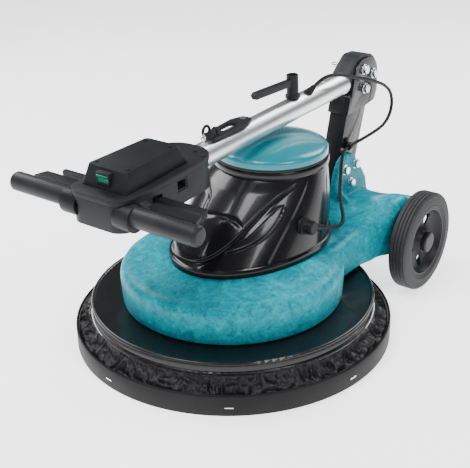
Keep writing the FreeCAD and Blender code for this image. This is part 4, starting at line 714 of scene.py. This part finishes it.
# ---- motor cover --------------------------------------------------------------------------
RIB = [(-22, 1.02), (-38, 0.88), (-49, 0.74), (-59, 0.52), (-70, 0.27), (-84, 0.10), (-105, 0.03),
       (-150, 0.0)]
LEAF = [(-36, 0.71), (-42, 0.56), (-52, 0.36), (-70, 0.18)]
BAND = [(-17, 0.90), (-19, 0.80), (-25, 0.56), (-31, 0.28), (-35, 0.04)]
CHEEK = [(-160, 0.50), (-140, 0.68), (-126, 0.78), (-116, 0.78), (-107, 0.72), (-103, 0.56), (-89, 0.58),
         (-74, 0.56), (-62, 0.47)]
PER_DEGREE, PER_HEIGHT = 2.1, 135.0


def drawn_through(points, steps=8):
    """A smooth line through the points that outline a rib or recess."""
    ends = [points[0]] + points + [points[-1]]
    line = []
    for a, b, c, d in zip(ends, ends[1:], ends[2:], ends[3:]):
        for i in range(steps):
            t = i / steps
            line.append(tuple(0.5 * (2 * q + (r - p) * t + (2 * p - 5 * q + 4 * r - w) * t * t
                                     + (3 * q - p - 3 * r + w) * t ** 3) for p, q, r, w in zip(a, b, c, d)))
    return line + [points[-1]]


RIB, LEAF, BAND, CHEEK = (drawn_through(line) for line in (RIB, LEAF, BAND, CHEEK))


def line_distance(line, u, v):
    """Signed millimetres from a drawn line on the cover, positive on its right, and the share along it."""
    best = None
    for i, ((ua, va), (ub, vb)) in enumerate(zip(line, line[1:])):
        ax, ay = ua * PER_DEGREE, va * PER_HEIGHT
        dx, dy = ub * PER_DEGREE - ax, vb * PER_HEIGHT - ay
        px, py = u * PER_DEGREE - ax, v * PER_HEIGHT - ay
        length = math.hypot(dx, dy)
        t = min(1.0, max(0.0, (px * dx + py * dy) / length ** 2))
        off = math.hypot(px - t * dx, py - t * dy)
        side = 1 if dx * py - dy * px > 0 else -1
        if best is None or off < abs(best[0]):
            best = (side * off, (i + t) / (len(line) - 1))
    return best


def ridge(distance, width):
    return math.exp(-(distance / width) ** 2)


def cover_relief(u, v):
    """Millimetres that the cover's skin stands out at angle u and height share v."""
    rib, place = line_distance(RIB, u, v)
    inside = smoothstep(2.0, -4.0, rib)
    fade = smoothstep(0.0, 0.14, v) * smoothstep(1.0, 0.84, v)
    relief = 5.0 * inside * fade * smoothstep(-178, -140, u)
    shown = smoothstep(-100, -84, u) * fade
    relief += (1.5 * ridge(rib + 1.0, 2.4) - 3.2 * ridge(rib - 4.5, 3.0)) * shown
    leaf, share = line_distance(LEAF, u, v)
    swell = math.sin(math.pi * min(1.0, max(0.0, share)))
    half = 10.0 * swell
    relief -= 4.2 * smoothstep(half + 1.5, half - 2.5, abs(leaf)) * smoothstep(0.0, 0.25, swell)
    relief += 1.6 * ridge(abs(leaf) - half - 1.8, 2.2) * smoothstep(0.1, 0.5, swell)
    band, _ = line_distance(BAND, u, v)
    relief += 2.4 * smoothstep(-5, 5, -band) * smoothstep(-62, -40, u) * smoothstep(1.0, 0.85, v) * 0.8
    cheek, where = line_distance(CHEEK, u, v)
    relief -= 2.6 * ridge(cheek, 2.8) * smoothstep(0.0, 0.1, where) * smoothstep(1.0, 0.9, where)
    if u > 0:
        shown = smoothstep(0.95, 0.8, v) * smoothstep(0.05, 0.2, v)
        relief -= 1.4 * ridge((u - 17) * PER_DEGREE, 3.0) * shown
    return relief


def cover_point(turn, v, relief=0.0):
    """A point of the cover's skin; v runs from 0 at the base to 1 at the collar."""
    c, s = math.cos(turn), math.sin(turn)
    base = Vector((132 * c, 75 + (160 if s > 0 else 192) * s, 174))
    top = Vector((107.3 * c, 131 + 107.3 * s, 301))
    point = base.lerp(top, v)
    bulge = 3.0 * math.sin(math.pi * v)
    out = Vector((c, s, 0.25))
    return (point + out * (relief + bulge)) * MM


def add_ring_of(name, sections, around=480):
    """A skin of stacked rings: each section gives a point for every turn."""
    start_fresh()
    bpy.ops.mesh.primitive_circle_add(vertices=around, radius=0.1)
    piece = named(name)

    def stack():
        for _ in sections[1:]:
            bpy.ops.mesh.extrude_region_move(TRANSFORM_OT_translate={"value": (0, 0, 0.01)})

    edit(piece, stack)
    for vertex in piece.data.vertices:
        turn = math.atan2(vertex.co.y, vertex.co.x)
        level = min(len(sections) - 1, int(round(vertex.co.z / 0.01)))
        vertex.co = sections[level](turn)
    edit(piece, outwards)
    return piece


def oval(inset, z):
    def at(turn):
        c, s = math.cos(turn), math.sin(turn)
        return Vector(((137 - inset) * c, 75 + ((165 if s > 0 else 197) - inset) * s, z)) * MM
    return at


def collar(radius, z):
    def at(turn):
        return Vector((radius * math.cos(turn), 131 + radius * math.sin(turn), z)) * MM
    return at


def skin(v, relieved=True):
    def at(turn):
        u = math.degrees(turn)
        if u > 90:
            u -= 360
        return cover_point(turn, v, cover_relief(u, v) if relieved and 0.02 < v < 1.0 else 0.0)
    return at


def model_cover():
    levels = 110
    sections = [oval(0, 160.5), oval(0, 163), oval(-0.4, 170), oval(0.6, 172.6), oval(2.8, 173.6),
                oval(4.6, 173.9)]
    sections += [skin(i / levels) for i in range(1, levels + 1)]
    sections += [collar(107.6, 302.2), collar(109.6, 303), collar(110.2, 304.5), collar(110.2, 313),
                 collar(109.4, 314.2), collar(106.5, 314.6), collar(106.5, 317.0), collar(101.0, 317.0),
                 collar(99.5, 312.0)]
    cover = add_ring_of("motor_cover_skin", sections)
    apply_modifier(cover, "SOLIDIFY", thickness=0.003, offset=-1)
    smooth(cover, 34)
    give(cover, "black_gloss")
    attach(cover, "chassis")
    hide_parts("motor_cover")


model_cover()


def model_lid():
    outline = [(100, 319.9), (106.6, 319.9), (107.9, 321.2), (108, 330), (107.2, 333), (105.2, 335.6),
               (101.5, 337.6), (92, 340.4), (78, 343.6), (60, 346.8), (40, 349.2), (20, 350.6), (0, 351.0),
               (0, 347.8), (60, 343.6), (99, 334.0), (100, 328)]
    lid = spin_profile("lid_shell", [(r * MM, z * MM) for r, z in outline], centre=(0, MOTOR_Y, 0),
                       steps=160)
    smooth(lid, 40)
    give(lid, "lid_teal")
    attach(lid, "chassis")
    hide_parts("cover_lid")


model_lid()


# ---- wheels -------------------------------------------------------------------------------
def model_tyre(side, name):
    ribs = []
    count = 4
    inner, outer = 190, 229
    shoulder = 5.5
    for i in range(count):
        a = inner + shoulder + i * (outer - inner - 2 * shoulder) / count
        b = inner + shoulder + (i + 1) * (outer - inner - 2 * shoulder) / count
        ribs += [(a + 1.2, 101.3), (b - 1.2, 101.3), (b - 0.6, 100.2), (b + 0.0, 99.2), (b + 0.6, 100.2)]
    outline = [(inner + 3, 70), (inner + 1, 74), (inner, 78), (inner + 0.2, 92), (inner + 1.4, 96.5),
               (inner + 3.6, 100.2)]
    outline += ribs[:-1]
    outline += [(outer - 3.6, 100.2), (outer - 1.4, 96.5), (outer - 0.2, 92), (outer - 0.5, 90.6),
                (outer, 89.4), (outer, 78), (outer - 1.2, 76.8), (outer - 0.4, 75.6), (outer - 1, 73),
                (outer - 3, 70)]
    tyre = spin_profile("tyre_tread_" + name, [(r * MM, side * x * MM) for x, r in outline], axis="X",
                        centre=(0, WHEEL_Y, WHEEL_Z), steps=160)
    smooth(tyre, 30)
    give(tyre, "tyre_rubber")
    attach(tyre, "wheel_" + name)
    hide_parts("tyre_" + name)


def model_rim(side, name):
    """A dished disc with oval lightening holes between its rim flange and its hub."""
    outline = [(192, 66), (192, 70), (226.5, 70), (226.5, 66.5), (221, 64.5), (214.5, 60), (209.5, 52),
               (208, 44), (209, 34), (213, 27), (219, 23.5), (222, 22), (222, 10.1), (191, 10.1), (191, 22),
               (203, 27), (204.5, 50), (202, 62), (196, 65.5)]
    rim = spin_profile("rim_disc_" + name, [(r * MM, side * x * MM) for x, r in outline], axis="X",
                       centre=(0, WHEEL_Y, WHEEL_Z), steps=120)
    for i in range(5):
        angle = math.radians(110 + 72 * i)
        start_fresh()
        bpy.ops.mesh.primitive_cylinder_add(vertices=48, radius=1, depth=0.05)
        hole = named("hole")
        hole.scale = (0.0085, 0.0135, 1)
        settle(hole)
        hole.location = (0, 0.0445, 0)
        settle(hole)
        hole.rotation_euler = (math.radians(90), 0, math.radians(90))
        settle(hole)
        hole.rotation_euler = (angle, 0, 0)
        settle(hole)
        hole.location = (side * 0.208, WHEEL_Y, WHEEL_Z)
        settle(hole)
        cut_with(rim, hole)
    apply_modifier(rim, "BEVEL", width=0.0009, segments=2, limit_method="ANGLE",
                   angle_limit=math.radians(50))
    smooth(rim, 40)
    give(rim, "rim_plastic")
    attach(rim, "wheel_" + name)
    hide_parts("rim_" + name)


for side, name in ((1, "right"), (-1, "left")):
    model_tyre(side, name)
    model_rim(side, name)


# ---- pieces whose moulded or pressed edges are rounded; widths in mm ------------------------
ROUNDED = {
    "chassis": [("mast_channel", 1.2), ("mast_bracket", 1.2), ("mast_bolts", 0.8), ("mast_washers", 0.4),
                ("cable_clip", 0.6), ("deck_plate", 0.8), ("motor_socket", 0.6)],
    "handle": [("knuckle_left", 2.5), ("knuckle_right", 2.5), ("head_lower", 1.5), ("head_upper", 3.0),
               ("switch_box", 6.0), ("switch_bezel", 0.8), ("hand_grips", 0.8), ("mains_inlet", 0.6)],
    "hook": [("cable_hook", 1.2)],
    "clip": [("strain_clip", 1.2)],
    "rocker": [("rocker_switch", 0.6)],
    "lever_right": [("switch_lever_right", 1.6)],
    "lever_left": [("switch_lever_left", 1.6)],
    "paddle": [("safety_paddle", 0.8)],
    "wheel_right": [("hub_cap_right", 2.5)],
    "wheel_left": [("hub_cap_left", 2.5)],
}
for body, pieces in ROUNDED.items():
    for node, width in pieces:
        rounded = rounded_copy(node, width * MM)
        give(rounded, node_slot[node])
        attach(rounded, body)


# ---- stage --------------------------------------------------------------------------------
def add_stage():
    start_fresh()
    bpy.ops.mesh.primitive_plane_add(size=30, location=(0, 0, 0))
    floor = named("floor")
    finish = Finish("floor_paint")
    faint = finish.noise(3.0, 2.0)
    tint = finish.ramp(faint, (0.0, (0.90, 0.90, 0.90)), (1.0, (0.93, 0.93, 0.93)))
    finish.set(Base_Color=tint, Roughness=0.75, Emission_Color=(1, 1, 1, 1), Emission_Strength=1.7)
    floor.data.materials.append(finish.material)


def add_light(name, place, size, power, target=(0, 0.05, 0.15)):
    data = bpy.data.lights.new(name, "AREA")
    data.size = size
    data.energy = power
    light = bpy.data.objects.new(name, data)
    bpy.context.scene.collection.objects.link(light)
    light.location = place
    light.rotation_euler = (Vector(target) - Vector(place)).to_track_quat("-Z", "Y").to_euler()


add_stage()
add_light("key", (-0.5, -1.3, 3.0), 1.5, 125)
add_light("left", (-2.2, 0.2, 1.9), 1.2, 50)
add_light("right", (2.2, -0.6, 2.2), 1.0, 48)
add_light("back", (0.3, 2.4, 2.2), 1.4, 62)
world = bpy.data.worlds.new("studio")
world.use_nodes = True
world.node_tree.nodes["Background"].inputs["Color"].default_value = (1, 1, 1, 1)
world.node_tree.nodes["Background"].inputs["Strength"].default_value = 0.2
bpy.context.scene.world = world
